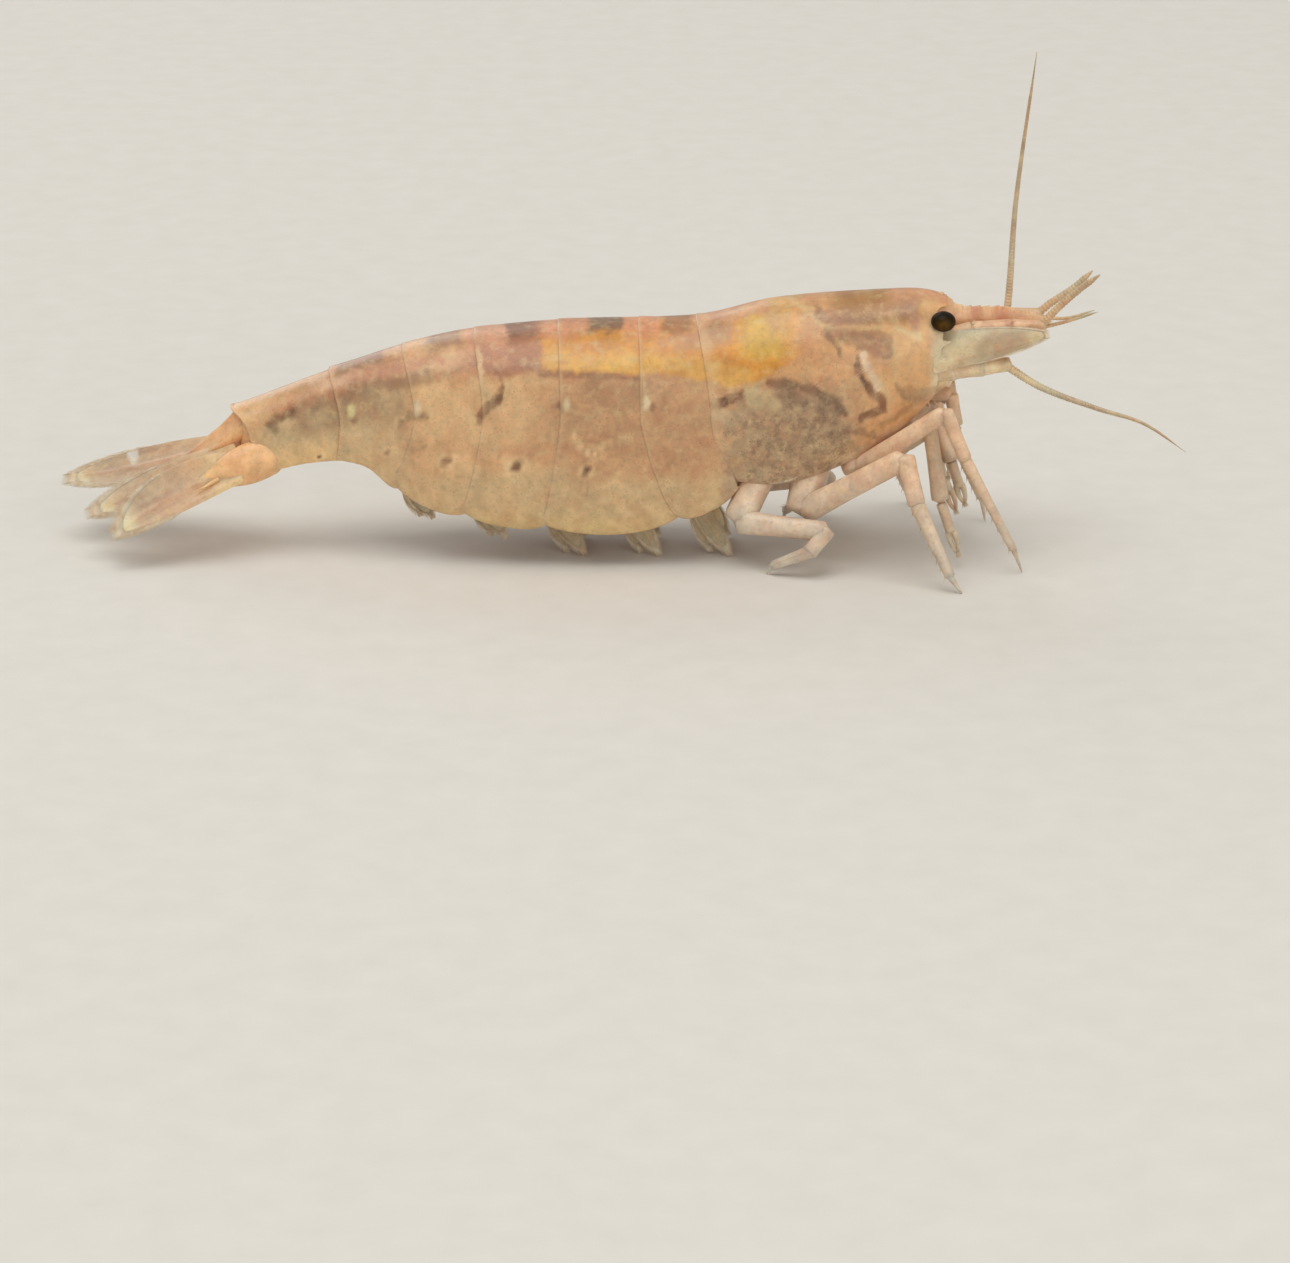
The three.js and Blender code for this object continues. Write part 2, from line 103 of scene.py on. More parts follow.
CAMERA_AT = Vector((2.4148, -113.584, 38.786))
CAMERA_AIM = Vector((2.4148, -0.8210, -2.2558))
LENS_LENGTH = 117.87
lens = bpy.data.cameras.new("long_lens")
lens.lens = LENS_LENGTH
lens.clip_start = 0.002
lens.clip_end = 20
camera = bpy.data.objects.new("long_lens", lens)
camera.location = to_frame @ CAMERA_AT
camera.rotation_euler = (CAMERA_AIM - CAMERA_AT).to_track_quat("-Z", "Y").to_euler()
bpy.context.scene.collection.objects.link(camera)
bpy.context.scene.camera = camera

LAMPS = {  # place in metres, width, power and colour
    "overhead": ((-0.06, -0.10, 0.42), 0.34, 0.95, (1.0, 0.98, 0.94)),
    "front_fill": ((0.22, -0.34, 0.16), 0.26, 0.38, (1.0, 0.96, 0.9)),
    "far_fill": ((-0.20, 0.36, 0.22), 0.30, 0.40, (0.95, 0.98, 1.0)),
}
for lamp_name, (lamp_at, width, power, colour) in LAMPS.items():
    lamp = bpy.data.lights.new(lamp_name, "AREA")
    lamp.size = width
    lamp.energy = power
    lamp.color = colour
    holder = bpy.data.objects.new(lamp_name, lamp)
    holder.location = lamp_at
    holder.rotation_euler = (-Vector(lamp_at)).to_track_quat("-Z", "Y").to_euler()
    bpy.context.scene.collection.objects.link(holder)

SKY_TINT, SKY_STRENGTH = (1.0, 0.97, 0.92, 1), 0.42
sky = bpy.data.worlds.new("soft_sky")
sky.use_nodes = True
sky.node_tree.nodes["Background"].inputs["Color"].default_value = SKY_TINT
sky.node_tree.nodes["Background"].inputs["Strength"].default_value = SKY_STRENGTH
bpy.context.scene.world = sky
bpy.context.scene.view_settings.view_transform = "Standard"


# ---- The shell of the body ----
# One shell over head and chest and six rings over the tail, each a thin curved plate of translucent
# shell whose rear edge rides over the next. The colour lies in the skin just under it.

QUARTER = math.pi / 2
SHELL_WALL = 0.04  # thickness of a plate
HEM = 1.75  # the free edge, in quarter turns from the back


def profile(stations):
    """A smooth curve through (x, value) stations, level beyond its ends."""
    last = len(stations) - 1

    def slope(k):
        before, after = stations[max(k - 1, 0)], stations[min(k + 1, last)]
        return (after[1] - before[1]) / (after[0] - before[0])

    def value(x):
        if x <= stations[0][0]:
            return stations[0][1]
        if x >= stations[last][0]:
            return stations[last][1]
        k = max(i for i in range(last) if stations[i][0] <= x)
        width = stations[k + 1][0] - stations[k][0]
        t = (x - stations[k][0]) / width
        rise = stations[k + 1][1] - stations[k][1]
        bend = t * (1 - t) * ((1 - t) * (slope(k) * width - rise) - t * (slope(k + 1) * width - rise))
        return stations[k][1] + rise * t + bend

    return value


back = profile([(-9.1, 4.2), (-6, 5.38), (-3.1, 6.24), (0, 6.6), (4, 6.78), (6, 7.25), (9.2, 7.52),
                (10.2, 7.52), (11, 7.3)])
half_width = profile([(-8.9, 0.72), (-6, 1.08), (-3, 1.7), (0.5, 2.0), (4, 1.85), (7, 1.92),
                      (9.5, 1.42), (11, 0.92)])
flank = profile([(-8.9, 3.7), (-3, 4.4), (0.5, 4.5), (4, 4.3), (8, 5.0), (11, 6.0)])
plate_hem = profile([(-8.9, 2.55), (-8, 2.52), (-7, 2.74), (-6, 2.84), (-5.3, 2.7), (-4.6, 2.1), (-3.3, 1.5),
                     (-1.4, 1.13), (0.3, 0.98), (2, 0.98), (3.6, 1.32), (4.9, 1.95)])
chest_hem = profile([(3.9, 2.0), (6.7, 2.5), (9.1, 3.5), (11, 4.7)])
breastplate = profile([(-5.9, 3.0), (0, 2.9), (4, 3.0), (6, 2.95), (8, 3.05), (9.2, 3.5), (10.3, 4.5)])

# Where each ring meets the next: x at the back, at the hinge on the flank and at the free edge
SEAMS = [(3.95, 4.35, 4.9), (2.35, 2.4, 3.6), (0.1, 0.2, -0.5), (-2.25, -1.95, -2.75),
         (-4.25, -3.85, -4.75), (-6.3, -5.95, -6.1), (-9.1, -8.6, -7.95)]
CHEST_FRONT = (10.8, 10.6, 10.4)
ORBIT = (10.75, 6.88, 0.31)  # the notch round the eye: x, z and radius


def seam_at(seam, angle):
    """x on a seam at an angle round the body, 0 at the back."""
    height = math.cos(angle)
    at_back, at_hinge, at_edge = seam
    if height > 0:
        return at_hinge + (at_back - at_hinge) * height ** 1.5
    return at_hinge + (at_edge - at_hinge) * (-height) ** 1.2


def body_point(x, angle, hem, tuck, out=0.0):
    """A point on the body's surface: a round back, and below it a wall down to the free edge."""
    width = half_width(x) + out
    level = flank(x)
    turn = abs(angle) / QUARTER
    if turn <= 1:
        return Vector((x, width * math.sin(angle), level + (back(x) + out - level) * math.cos(angle)))
    wall = min((turn - 1) / (HEM - 1), 1)
    y = math.copysign(width * (1 - tuck * wall ** 2), angle)
    return Vector((x, y, level + (hem - out - level) * math.sin(wall * QUARTER)))


def ease(value, start, end):
    """0 on the near side of start, 1 beyond end, and smooth between; start may be the greater."""
    t = np.clip((np.asarray(value, float) - start) / (end - start), 0, 1)
    return t * t * (3 - 2 * t)


def near_line(x, z, route):
    """Distance of each point from a line drawn on the flank."""
    best = np.full(len(x), 1e9)
    for (x0, z0), (x1, z1) in zip(route, route[1:]):
        run, rise = x1 - x0, z1 - z0
        share = np.clip(((x - x0) * run + (z - z0) * rise) / (run * run + rise * rise + 1e-9), 0, 1)
        best = np.minimum(best, np.hypot(x - x0 - share * run, z - z0 - share * rise))
    return best


saddle_rim = profile([(-0.5, 5.7), (1.15, 5.67), (2.3, 5.64), (3.65, 5.5),
                      (5.3, 5.32), (6.0, 5.7), (7.2, 6.5)])
# Soft edges that bound a wash: a measure, where the wash begins and where it is full
CHEST = [("x", 4.35, 4.75)]
GILLS = [*CHEST, ("gill oval", 1.15, 0.7), ("x", 8.5, 8.0)]
SADDLE = [("ragged x", -0.55, -0.1), ("x", 7.0, 5.9), ("over saddle rim", -0.08, 0.08)]
BODY_TINT = paint(0.86, 0.64, 0.47)
WASHES = [  # in the order they are laid: colour, strength and edges
    # along the body
    (paint(0.98, 0.75, 0.55), 1.0, [("x", 0.2, -1.2), ("x", -4.6, -3.4)]),
    (paint(0.89, 0.73, 0.55), 1.0, [("x", -3.6, -5.2), ("depth", 0.4, 0.8)]),
    (paint(0.84, 0.59, 0.43), 1.0, [("x", -3.0, -5.0), ("depth", 0.75, 0.4)]),
    # the back above the flank
    (paint(0.76, 0.50, 0.35), 1.0, [("depth", 1.2, 0.75), ("x", -3.5, -2.0), ("x", 7.5, 6.0)]),
    (paint(0.76, 0.56, 0.41), 0.8, [("x", 0.0, 1.0), ("z", 4.5, 5.2), ("z", 5.7, 5.5), ("x", 3.2, 2.4)]),
    # the pale lower edge
    (paint(0.88, 0.72, 0.54), 1.0, [("below flank", 1.2, 2.1), ("x", 5.0, 4.3)]),
    (paint(0.91, 0.76, 0.53), 0.7, [("below flank", 2.6, 3.3), ("x", 5.0, 4.3)]),
    (paint(0.95, 0.76, 0.55), 1.0, [("x", -5.8, -6.6), ("below flank", 0.35, 0.8)]),
    (paint(0.94, 0.72, 0.52), 1.0, [("x", -7.9, -8.6)]),
    # head and chest
    (paint(0.91, 0.65, 0.45), 1.0, [*CHEST, ("z", 5.2, 5.7), ("x", 9.4, 8.4)]),
    (paint(0.98, 0.72, 0.50), 1.0, [("x", 8.2, 9.0)]),
    (paint(0.71, 0.51, 0.31), 1.0, [("x", 7.2, 8.0), ("z", 6.7, 7.0), ("x", 10.4, 9.6)]),
    (paint(0.89, 0.62, 0.46), 1.0, [("x", 8.9, 9.5), ("depth", 0.24, 0.10)]),
    (paint(0.76, 0.62, 0.48), 0.92, GILLS),
    (paint(0.79, 0.66, 0.53), 1.0, [*CHEST, ("x", 8.0, 6.5), ("z", 3.2, 2.6)]),
    # the breastplate between the legs, and the bare flesh of the face
    (paint(0.84, 0.71, 0.58), 0.9, [*CHEST, ("beside middle", 0.8, 0.55), ("below flank", 0.3, 0.8)]),
    (paint(1.0, 0.88, 0.71), 1.0, [("x", 10.2, 10.5), ("z", 7.15, 6.9)]),
    # the saddle of ripening eggs in the back
    (paint(0.95, 0.61, 0.23), 0.96, SADDLE),
    (paint(1.0, 0.74, 0.40), 0.8, [*SADDLE, ("over saddle rim", 0.6, 0.35), ("x", 5.8, 4.9)]),
    (paint(0.97, 0.74, 0.35), 0.85, [*SADDLE, ("x", 4.7, 5.3), ("x", 6.8, 6.0), ("z", 5.9, 6.2)]),
    (paint(0.76, 0.56, 0.42), 0.8, [*SADDLE, ("x", 3.0, 3.6), ("x", 5.0, 4.6), ("depth", 0.75, 0.4)]),
    (paint(0.88, 0.60, 0.38), 0.7, [*SADDLE, ("x", 2.4, 2.8), ("x", 4.2, 3.6), ("depth", 0.65, 0.4)]),
    (paint(0.88, 0.58, 0.25), 0.7, [*SADDLE, ("depth", 0.8, 0.4), ("x", 2.8, 2.4)]),
    (paint(0.90, 0.67, 0.46), 0.85, [*SADDLE, ("x", 5.5, 6.1), ("depth", 0.65, 0.35)]),
]
# Marks under the shell: colour, strength, half width, softness and route over x and z
FLANK_MARKS = [
    # the dark line below the saddle and along the tail
    (paint(0.52, 0.35, 0.25), 0.62, 0.02, 0.10, [(-0.5, 5.58), (0.3, 5.60), (1.0, 5.54), (2.3, 5.50)]),
    (paint(0.62, 0.42, 0.33), 0.45, 0.02, 0.16, [(-0.6, 5.74), (-1.6, 5.66), (-2.4, 5.72), (-3.3, 5.5)]),
    (paint(0.50, 0.38, 0.29), 0.66, 0.04, 0.28,
     [(-3.6, 5.42), (-4.3, 5.24), (-5.2, 5.0), (-5.8, 4.80), (-6.4, 4.60), (-7.3, 4.28)]),
    (paint(0.38, 0.29, 0.21), 0.72, 0.03, 0.15, [(-7.3, 4.30), (-7.8, 4.12), (-8.1, 3.95), (-7.9, 3.72)]),
    (paint(0.62, 0.49, 0.38), 0.50, 0.15, 0.40, [(-4.6, 4.75), (-5.8, 4.35), (-7.0, 4.05)]),
    # pale stripe above it, partly a painted highlight along the curve of the back
    (paint(0.86, 0.56, 0.43), 0.60, 0.05, 0.15, [(-3.2, 5.86), (-3.8, 5.7), (-4.5, 5.56)]),
    (paint(0.84, 0.58, 0.47), 0.60, 0.04, 0.14, [(-4.5, 5.56), (-5.0, 5.45), (-5.4, 5.3)]),
    (paint(0.94, 0.73, 0.60), 0.70, 0.03, 0.12, [(-5.5, 5.3), (-6.1, 5.12), (-6.9, 4.86)]),
    # seams and the oblique mark by the third ring's hinge
    (paint(0.90, 0.71, 0.53), 0.75, 0.02, 0.07, [(2.38, 5.7), (2.40, 5.2), (2.44, 4.9)]),
    (paint(0.93, 0.74, 0.56), 0.75, 0.04, 0.10, [(-2.22, 6.12), (-2.14, 5.7), (-2.0, 5.2), (-1.92, 4.9)]),
    (paint(0.90, 0.70, 0.52), 0.60, 0.03, 0.08, [(-1.36, 5.3), (-1.42, 4.95), (-1.7, 4.6)]),
    (paint(0.58, 0.38, 0.29), 0.60, 0.01, 0.08, [(-1.66, 5.75), (-1.58, 5.5), (-1.55, 5.29)]),
    (paint(0.50, 0.35, 0.24), 0.70, 0.04, 0.10, [(-1.58, 5.29), (-1.62, 4.95)]),
    (paint(0.48, 0.33, 0.23), 0.88, 0.10, 0.09, [(-1.64, 4.95), (-1.9, 4.66), (-2.15, 4.42)]),
    (paint(0.50, 0.37, 0.26), 0.80, 0.03, 0.09, [(-4.42, 4.19), (-4.1, 4.36), (-3.7, 4.37)]),
    # arches of the plates' muscles, and the pale fork on the second ring
    (paint(0.72, 0.48, 0.36), 0.28, 0.05, 0.22, [(-4.2, 3.5), (-3.4, 3.62), (-2.7, 3.4)]),
    (paint(0.72, 0.46, 0.36), 0.30, 0.05, 0.24, [(-2.2, 3.35), (-1.5, 3.55), (-0.8, 3.35)]),
    (paint(0.72, 0.48, 0.35), 0.30, 0.05, 0.22, [(-0.5, 3.4), (0.1, 3.65), (0.35, 3.5)]),
    (paint(0.73, 0.50, 0.35), 0.30, 0.06, 0.24, [(1.9, 3.5), (2.5, 3.55), (3.1, 3.3)]),
    (paint(0.68, 0.45, 0.31), 0.55, 0.05, 0.16, [(0.72, 3.95), (0.95, 3.7), (1.3, 3.9)]),
    (paint(1.0, 0.80, 0.60), 0.80, 0.025, 0.08, [(0.36, 4.1), (0.55, 3.75), (0.90, 3.33)]),
    (paint(1.0, 0.80, 0.60), 0.78, 0.025, 0.08, [(1.0, 3.36), (1.3, 3.7), (1.75, 3.93), (2.0, 3.8)]),
    # chest: the S line, a white streak beside it that is a painted highlight on the groove's edge, and the
    # lines of the jaw muscles
    (paint(0.42, 0.28, 0.18), 0.92, 0.04, 0.08, [(8.3, 6.05), (8.28, 5.85)]),
    (paint(0.42, 0.28, 0.18), 0.92, 0.085, 0.07, [(8.3, 5.8), (8.42, 5.42), (8.62, 5.2)]),
    (paint(0.47, 0.30, 0.20), 0.85, 0.085, 0.08,
     [(8.72, 5.1), (8.95, 4.88), (8.97, 4.6), (8.72, 4.44), (8.38, 4.34)]),
    # painted highlight: the white streak along the edge of the S line's groove
    (paint(1.0, 0.83, 0.69), 0.95, 0.08, 0.06, [(8.48, 6.1), (8.62, 5.75), (8.82, 5.22)]),
    (paint(0.93, 0.76, 0.56), 0.65, 0.02, 0.09, [(8.9, 5.3), (9.12, 5.0), (9.19, 4.5), (9.1, 4.2)]),
    (paint(0.94, 0.77, 0.55), 0.60, 0.02, 0.09, [(9.3, 6.35), (9.28, 5.9), (9.3, 5.4)]),
    (paint(0.60, 0.44, 0.31), 0.55, 0.03, 0.20, [(10.1, 4.95), (9.75, 4.62), (9.4, 4.36), (9.05, 4.1)]),
    (paint(0.54, 0.41, 0.30), 0.60, 0.02, 0.10, [(9.38, 5.3), (9.55, 5.02), (9.7, 4.8)]),
    (paint(0.66, 0.53, 0.41), 0.60, 0.12, 0.22, [(9.75, 4.95), (10.1, 4.85), (10.4, 4.9)]),
    (paint(0.92, 0.74, 0.52), 0.80, 0.025, 0.07,
     [(6.45, 7.38), (6.9, 7.1), (7.3, 6.88), (7.8, 6.77), (8.3, 6.74), (8.9, 6.79)]),
    (paint(0.58, 0.41, 0.28), 0.70, 0.04, 0.10, [(7.15, 7.1), (7.5, 6.97), (7.9, 6.95), (8.7, 6.95)]),
    (paint(0.58, 0.45, 0.34), 0.75, 0.08, 0.18, [(7.5, 6.64), (8.2, 6.56), (8.8, 6.36), (9.1, 6.2)]),
    (paint(0.44, 0.32, 0.22), 0.72, 0.03, 0.08, [(7.5, 6.62), (7.66, 6.4), (7.8, 6.2)]),
    (paint(0.60, 0.46, 0.34), 0.70, 0.07, 0.14, [(8.5, 6.6), (8.85, 6.56), (9.12, 6.44)]),
    (paint(0.50, 0.36, 0.27), 0.60, 0.02, 0.12, [(8.3, 6.3), (8.7, 6.2), (9.0, 6.06)]),
    # upper rim of the gill chamber and the dark fold behind it
    (paint(0.44, 0.32, 0.23), 0.80, 0.04, 0.12,
     [(5.85, 5.42), (6.4, 5.40), (7.1, 5.2), (7.6, 4.9), (7.95, 4.5)]),
    (paint(0.50, 0.38, 0.30), 0.55, 0.10, 0.36, [(6.4, 5.1), (6.9, 4.97), (7.5, 4.6)]),
    (paint(0.40, 0.23, 0.16), 0.94, 0.10, 0.10, [(4.45, 4.82), (4.75, 4.95), (5.15, 5.02)]),
    (paint(0.90, 0.70, 0.48), 0.75, 0.03, 0.10, [(5.7, 5.48), (5.45, 5.3), (5.3, 5.2)]),
    (paint(0.88, 0.76, 0.58), 0.85, 0.12, 0.18, [(5.4, 5.0), (5.85, 4.95), (6.0, 4.7)]),
    (paint(0.88, 0.73, 0.58), 0.75, 0.09, 0.16, [(4.4, 4.55), (4.7, 4.38), (5.2, 4.42)]),
    (paint(0.52, 0.37, 0.29), 0.62, 0.02, 0.12, [(7.3, 3.9), (7.9, 3.98), (8.5, 4.0), (8.72, 3.75)]),
    (paint(0.52, 0.36, 0.27), 0.60, 0.02, 0.10, [(8.75, 3.9), (8.82, 3.5), (8.6, 3.3), (8.3, 3.4)]),
    # a painted highlight along the lower edge of the shell
    (paint(0.97, 0.90, 0.82), 0.90, 0.01, 0.05, [(4.95, 2.2), (5.7, 2.36), (6.65, 2.62)]),
    (paint(0.90, 0.75, 0.62), 0.70, 0.08, 0.20, [(7.3, 2.85), (8.2, 3.2), (9.6, 3.95)]),
    (paint(0.80, 0.53, 0.43), 0.55, 0.03, 0.16, [(8.9, 3.6), (9.4, 3.75), (9.9, 4.05)]),
    # brow and cheek
    (paint(0.72, 0.50, 0.42), 0.62, 0.10, 0.18, [(9.75, 7.2), (9.85, 7.0), (9.9, 6.8)]),
    (paint(0.95, 0.74, 0.52), 0.60, 0.06, 0.14, [(9.2, 7.1), (9.35, 6.9)]),
    (paint(0.97, 0.82, 0.60), 0.75, 0.03, 0.10, [(9.35, 6.68), (9.6, 6.6), (10.0, 6.5)]),
]
SPOTS = [  # small dark pigment cells: x, z, half width, strength
    (-4.75, 3.24, 0.11, 0.5), (-3.10, 3.11, 0.17, 0.80), (-1.15, 3.01, 0.18, 0.85), (0.8, 2.92, 0.13, 0.95),
    (-3.7, 3.52, 0.08, 0.3), (-1.6, 3.32, 0.08, 0.3), (2.4, 2.9, 0.06, 0.4), (5.3, 2.7, 0.06, 0.6),
    (6.2, 3.5, 0.07, 0.5), (0.05, 4.7, 0.05, 0.5), (-6.7, 2.98, 0.08, 0.85),
]
HINGES = [  # pale drops at the hinges of the rings: x, z, size, colour, and where the dark crescent sits
    (2.45, 4.83, 0.13, paint(1.0, 0.87, 0.69), (0.13, -0.10)),
    (0.25, 4.83, 0.135, paint(1.0, 0.88, 0.70), (-0.17, -0.05)),
    (-3.90, 4.58, 0.15, paint(1.0, 0.88, 0.72), (-0.13, -0.17)),
    (-5.75, 4.36, 0.13, paint(1.0, 0.93, 0.66), (0.07, -0.19)),
]
CREST_MARKS = [  # along the crest: from x, to x, colour, strength, depth below the crest
    (-0.45, 0.80, paint(0.90, 0.60, 0.46), 0.85, 0.19),
    (0.80, 1.86, paint(0.48, 0.39, 0.31), 0.90, 0.15),
    (1.85, 2.80, paint(0.96, 0.62, 0.46), 0.90, 0.22),
    (2.85, 3.70, paint(0.60, 0.43, 0.31), 0.75, 0.17),
    (3.80, 5.90, paint(0.93, 0.66, 0.50), 0.85, 0.14),
    (-2.60, -1.45, paint(0.94, 0.66, 0.52), 0.85, 0.25),
    (-1.45, -0.60, paint(0.56, 0.41, 0.33), 0.72, 0.17),
    (-4.60, -3.65, paint(0.95, 0.71, 0.53), 0.80, 0.24),
    (-3.60, -2.75, paint(0.56, 0.43, 0.34), 0.68, 0.16),
    (-6.20, -4.90, paint(0.53, 0.43, 0.34), 0.62, 0.18),
    (-8.40, -6.60, paint(0.93, 0.71, 0.52), 0.60, 0.35),
]


SPOT_HALO, SPOT_TINT = paint(1.0, 0.82, 0.62), paint(0.33, 0.20, 0.13)
HINGE_CRESCENT = paint(0.54, 0.38, 0.27)
DRIFT_SEED = 4  # keeps the wander of the marks the same each time
noise.seed_set(DRIFT_SEED)


def blend(under, over, amount):
    """Colours with another laid over them, by an amount for each."""
    return under + (np.asarray(over) - under) * np.clip(amount, 0, 1)[:, None]


def pigment(points):
    """Colour and speckle of the skin at each point of the body."""
    drift = np.array([noise.noise_vector(p * 1.7) * 0.11 + noise.noise_vector(p * 5.1) * 0.055
                      + noise.noise_vector(p * 13.0) * 0.02 for p in points])
    wear = np.array([noise.noise(p * 3.3) for p in points])
    mottle = np.array([noise.fractal(p * 1.3, 1.0, 2.0, 4) for p in points])
    true_x, y, true_z = np.array([tuple(p) for p in points]).T
    x = true_x + drift[:, 0]
    z = true_z + drift[:, 2]
    depth = np.array([back(p.x) for p in points]) - z
    gill_oval = np.hypot((x - 6.45) / 2.0, (z - 3.75) / np.where(z > 3.75, 1.65, 1.75)) + 0.35 * wear
    measures = {
        "x": x, "z": z, "ragged x": x + 0.25 * wear, "depth": depth, "beside middle": np.abs(y),
        "below flank": np.array([flank(p.x) for p in points]) - z, "gill oval": gill_oval,
        "over saddle rim": z - np.array([saddle_rim(v) for v in x]),
    }

    def bounded(edges):
        share = np.ones(len(x))
        for measure, start, full in edges:
            share = share * ease(measures[measure], start, full)
        return share

    tint = np.tile(BODY_TINT, (len(x), 1))
    for colour, strength, edges in WASHES:
        tint = blend(tint, colour, bounded(edges) * strength)
    for start, end, colour, strength, thick in CREST_MARKS:
        amount = ease(x, start - 0.1, start + 0.1) * ease(x, end + 0.1, end - 0.1)
        tint = blend(tint, colour, amount * ease(depth, thick * 1.6, thick * 0.5) * strength)
    for colour, strength, width, softness, route in FLANK_MARKS:
        amount = ease(near_line(x, z, route) + wear * 0.045, width + softness, width)
        tint = blend(tint, colour, amount * strength * (0.88 + 0.35 * wear))
    for spot_x, spot_z, width, strength in SPOTS:
        away_x, away_z = true_x - spot_x, (true_z - spot_z) * 1.2
        away = np.hypot(away_x, away_z - 0.35 * away_x) + 0.04 * wear
        tint = blend(tint, SPOT_HALO, ease(away, width * 2.4, width * 1.4) * 0.7 * strength)
        tint = blend(tint, SPOT_TINT, ease(away, width * 1.35, width * 0.45) * strength)
    for hinge_x, hinge_z, size, colour, (dark_x, dark_z) in HINGES:
        away = np.hypot(true_x - hinge_x - dark_x, true_z - hinge_z - dark_z)
        tint = blend(tint, HINGE_CRESCENT, ease(away, size * 1.4, size * 0.4) * 0.7)
        away = np.hypot(1.15 * (true_x - hinge_x), (true_z - hinge_z) * 0.7) + 0.03 * wear
        tint = blend(tint, colour, ease(away, size * 1.4, size * 0.45) * 0.92)
    tint = tint * (1 + 0.15 * mottle)[:, None]
    # fewer cells on the head and the saddle, more over the gills
    speck = 0.5 * (1 - 0.6 * ease(x, 8.2, 8.8))
    speck = speck + 0.5 * bounded(GILLS) * ease(np.hypot(x - 5.75, z - 4.95), 0.25, 0.6)
    speck = speck * (1 - 0.8 * bounded(SADDLE))
    return np.column_stack([np.clip(tint, 0, 1), np.clip(speck, 0, 1)])


def piece(name, bm, material, replaces=(), colours=None):
    """A finished piece of the model from a drawing in millimetres."""
    mesh = bpy.data.meshes.new(name)
    if colours is not None:
        colours = colours([v.co.copy() for v in bm.verts])
    bmesh.ops.transform(bm, matrix=to_frame, verts=bm.verts)
    for face in bm.faces:
        face.smooth = True
    bm.to_mesh(mesh)
    bm.free()
    if colours is not None:
        layer = mesh.color_attributes.new("pigment", "FLOAT_COLOR", "POINT")
        layer.data.foreach_set("color", np.asarray(colours, np.float32).ravel())
    made = bpy.data.objects.new(name, mesh)
    mesh.materials.append(material)
    bpy.context.scene.collection.objects.link(made)
    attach(made, "root")
    if replaces:
        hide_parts(*replaces)
    return made


def clouds(tree, where, scale, detail, roughness=0.5):
    """Soft noise over the surface."""
    return add_node(tree, "ShaderNodeTexNoise", {
        "Vector": where, "Scale": scale, "Detail": detail, "Roughness": roughness,
    }).outputs["Fac"]


def spread(tree, value, low, high, least=0.0, most=1.0):
    """A value carried from the span low to high over to the span least to most."""
    return add_node(tree, "ShaderNodeMapRange", {
        "Value": value, "From Min": low, "From Max": high, "To Min": least, "To Max": most,
    }).outputs["Result"]


def product(tree, first, second):
    """Two values multiplied."""
    return add_node(tree, "ShaderNodeMath", {0: first, 1: second}, operation="MULTIPLY").outputs["Value"]


def mixed(tree, share, under, over):
    """One colour laid over another by a share."""
    return add_node(tree, "ShaderNodeMix", {0: share, 6: under, 7: over},
                    data_type="RGBA", blend_type="MIX").outputs[2]


def shaded(tree, colour, light):
    """A colour made lighter or darker."""
    return add_node(tree, "ShaderNodeVectorMath", {0: colour, "Scale": light},
                    operation="SCALE").outputs["Vector"]


SKIN_DRIFTS = [  # warm, pale and fine dark ones: scale, where they begin and are full, strength, colour
    (1500.0, 0.45, 0.75, 0.34, (*paint(0.80, 0.43, 0.29), 1)),
    (3300.0, 0.50, 0.75, 0.42, (*paint(0.96, 0.82, 0.62), 1)),
    (7000.0, 0.52, 0.70, 0.22, (*paint(0.52, 0.36, 0.26), 1)),
]
GILL_NET = (*paint(0.42, 0.31, 0.22), 1)
RED_CELL, DARK_CELL = (*paint(0.62, 0.34, 0.22), 1), (*paint(0.40, 0.27, 0.20), 1)
FLESH_SCATTER = (1.0, 0.5, 0.28)
# Patterns to the metre: soft haze, the net over the gills, patches of cells, and pits
HAZE, NET, PATCHES, PITS = 2600.0, 4300.0, 5200.0, 16000.0


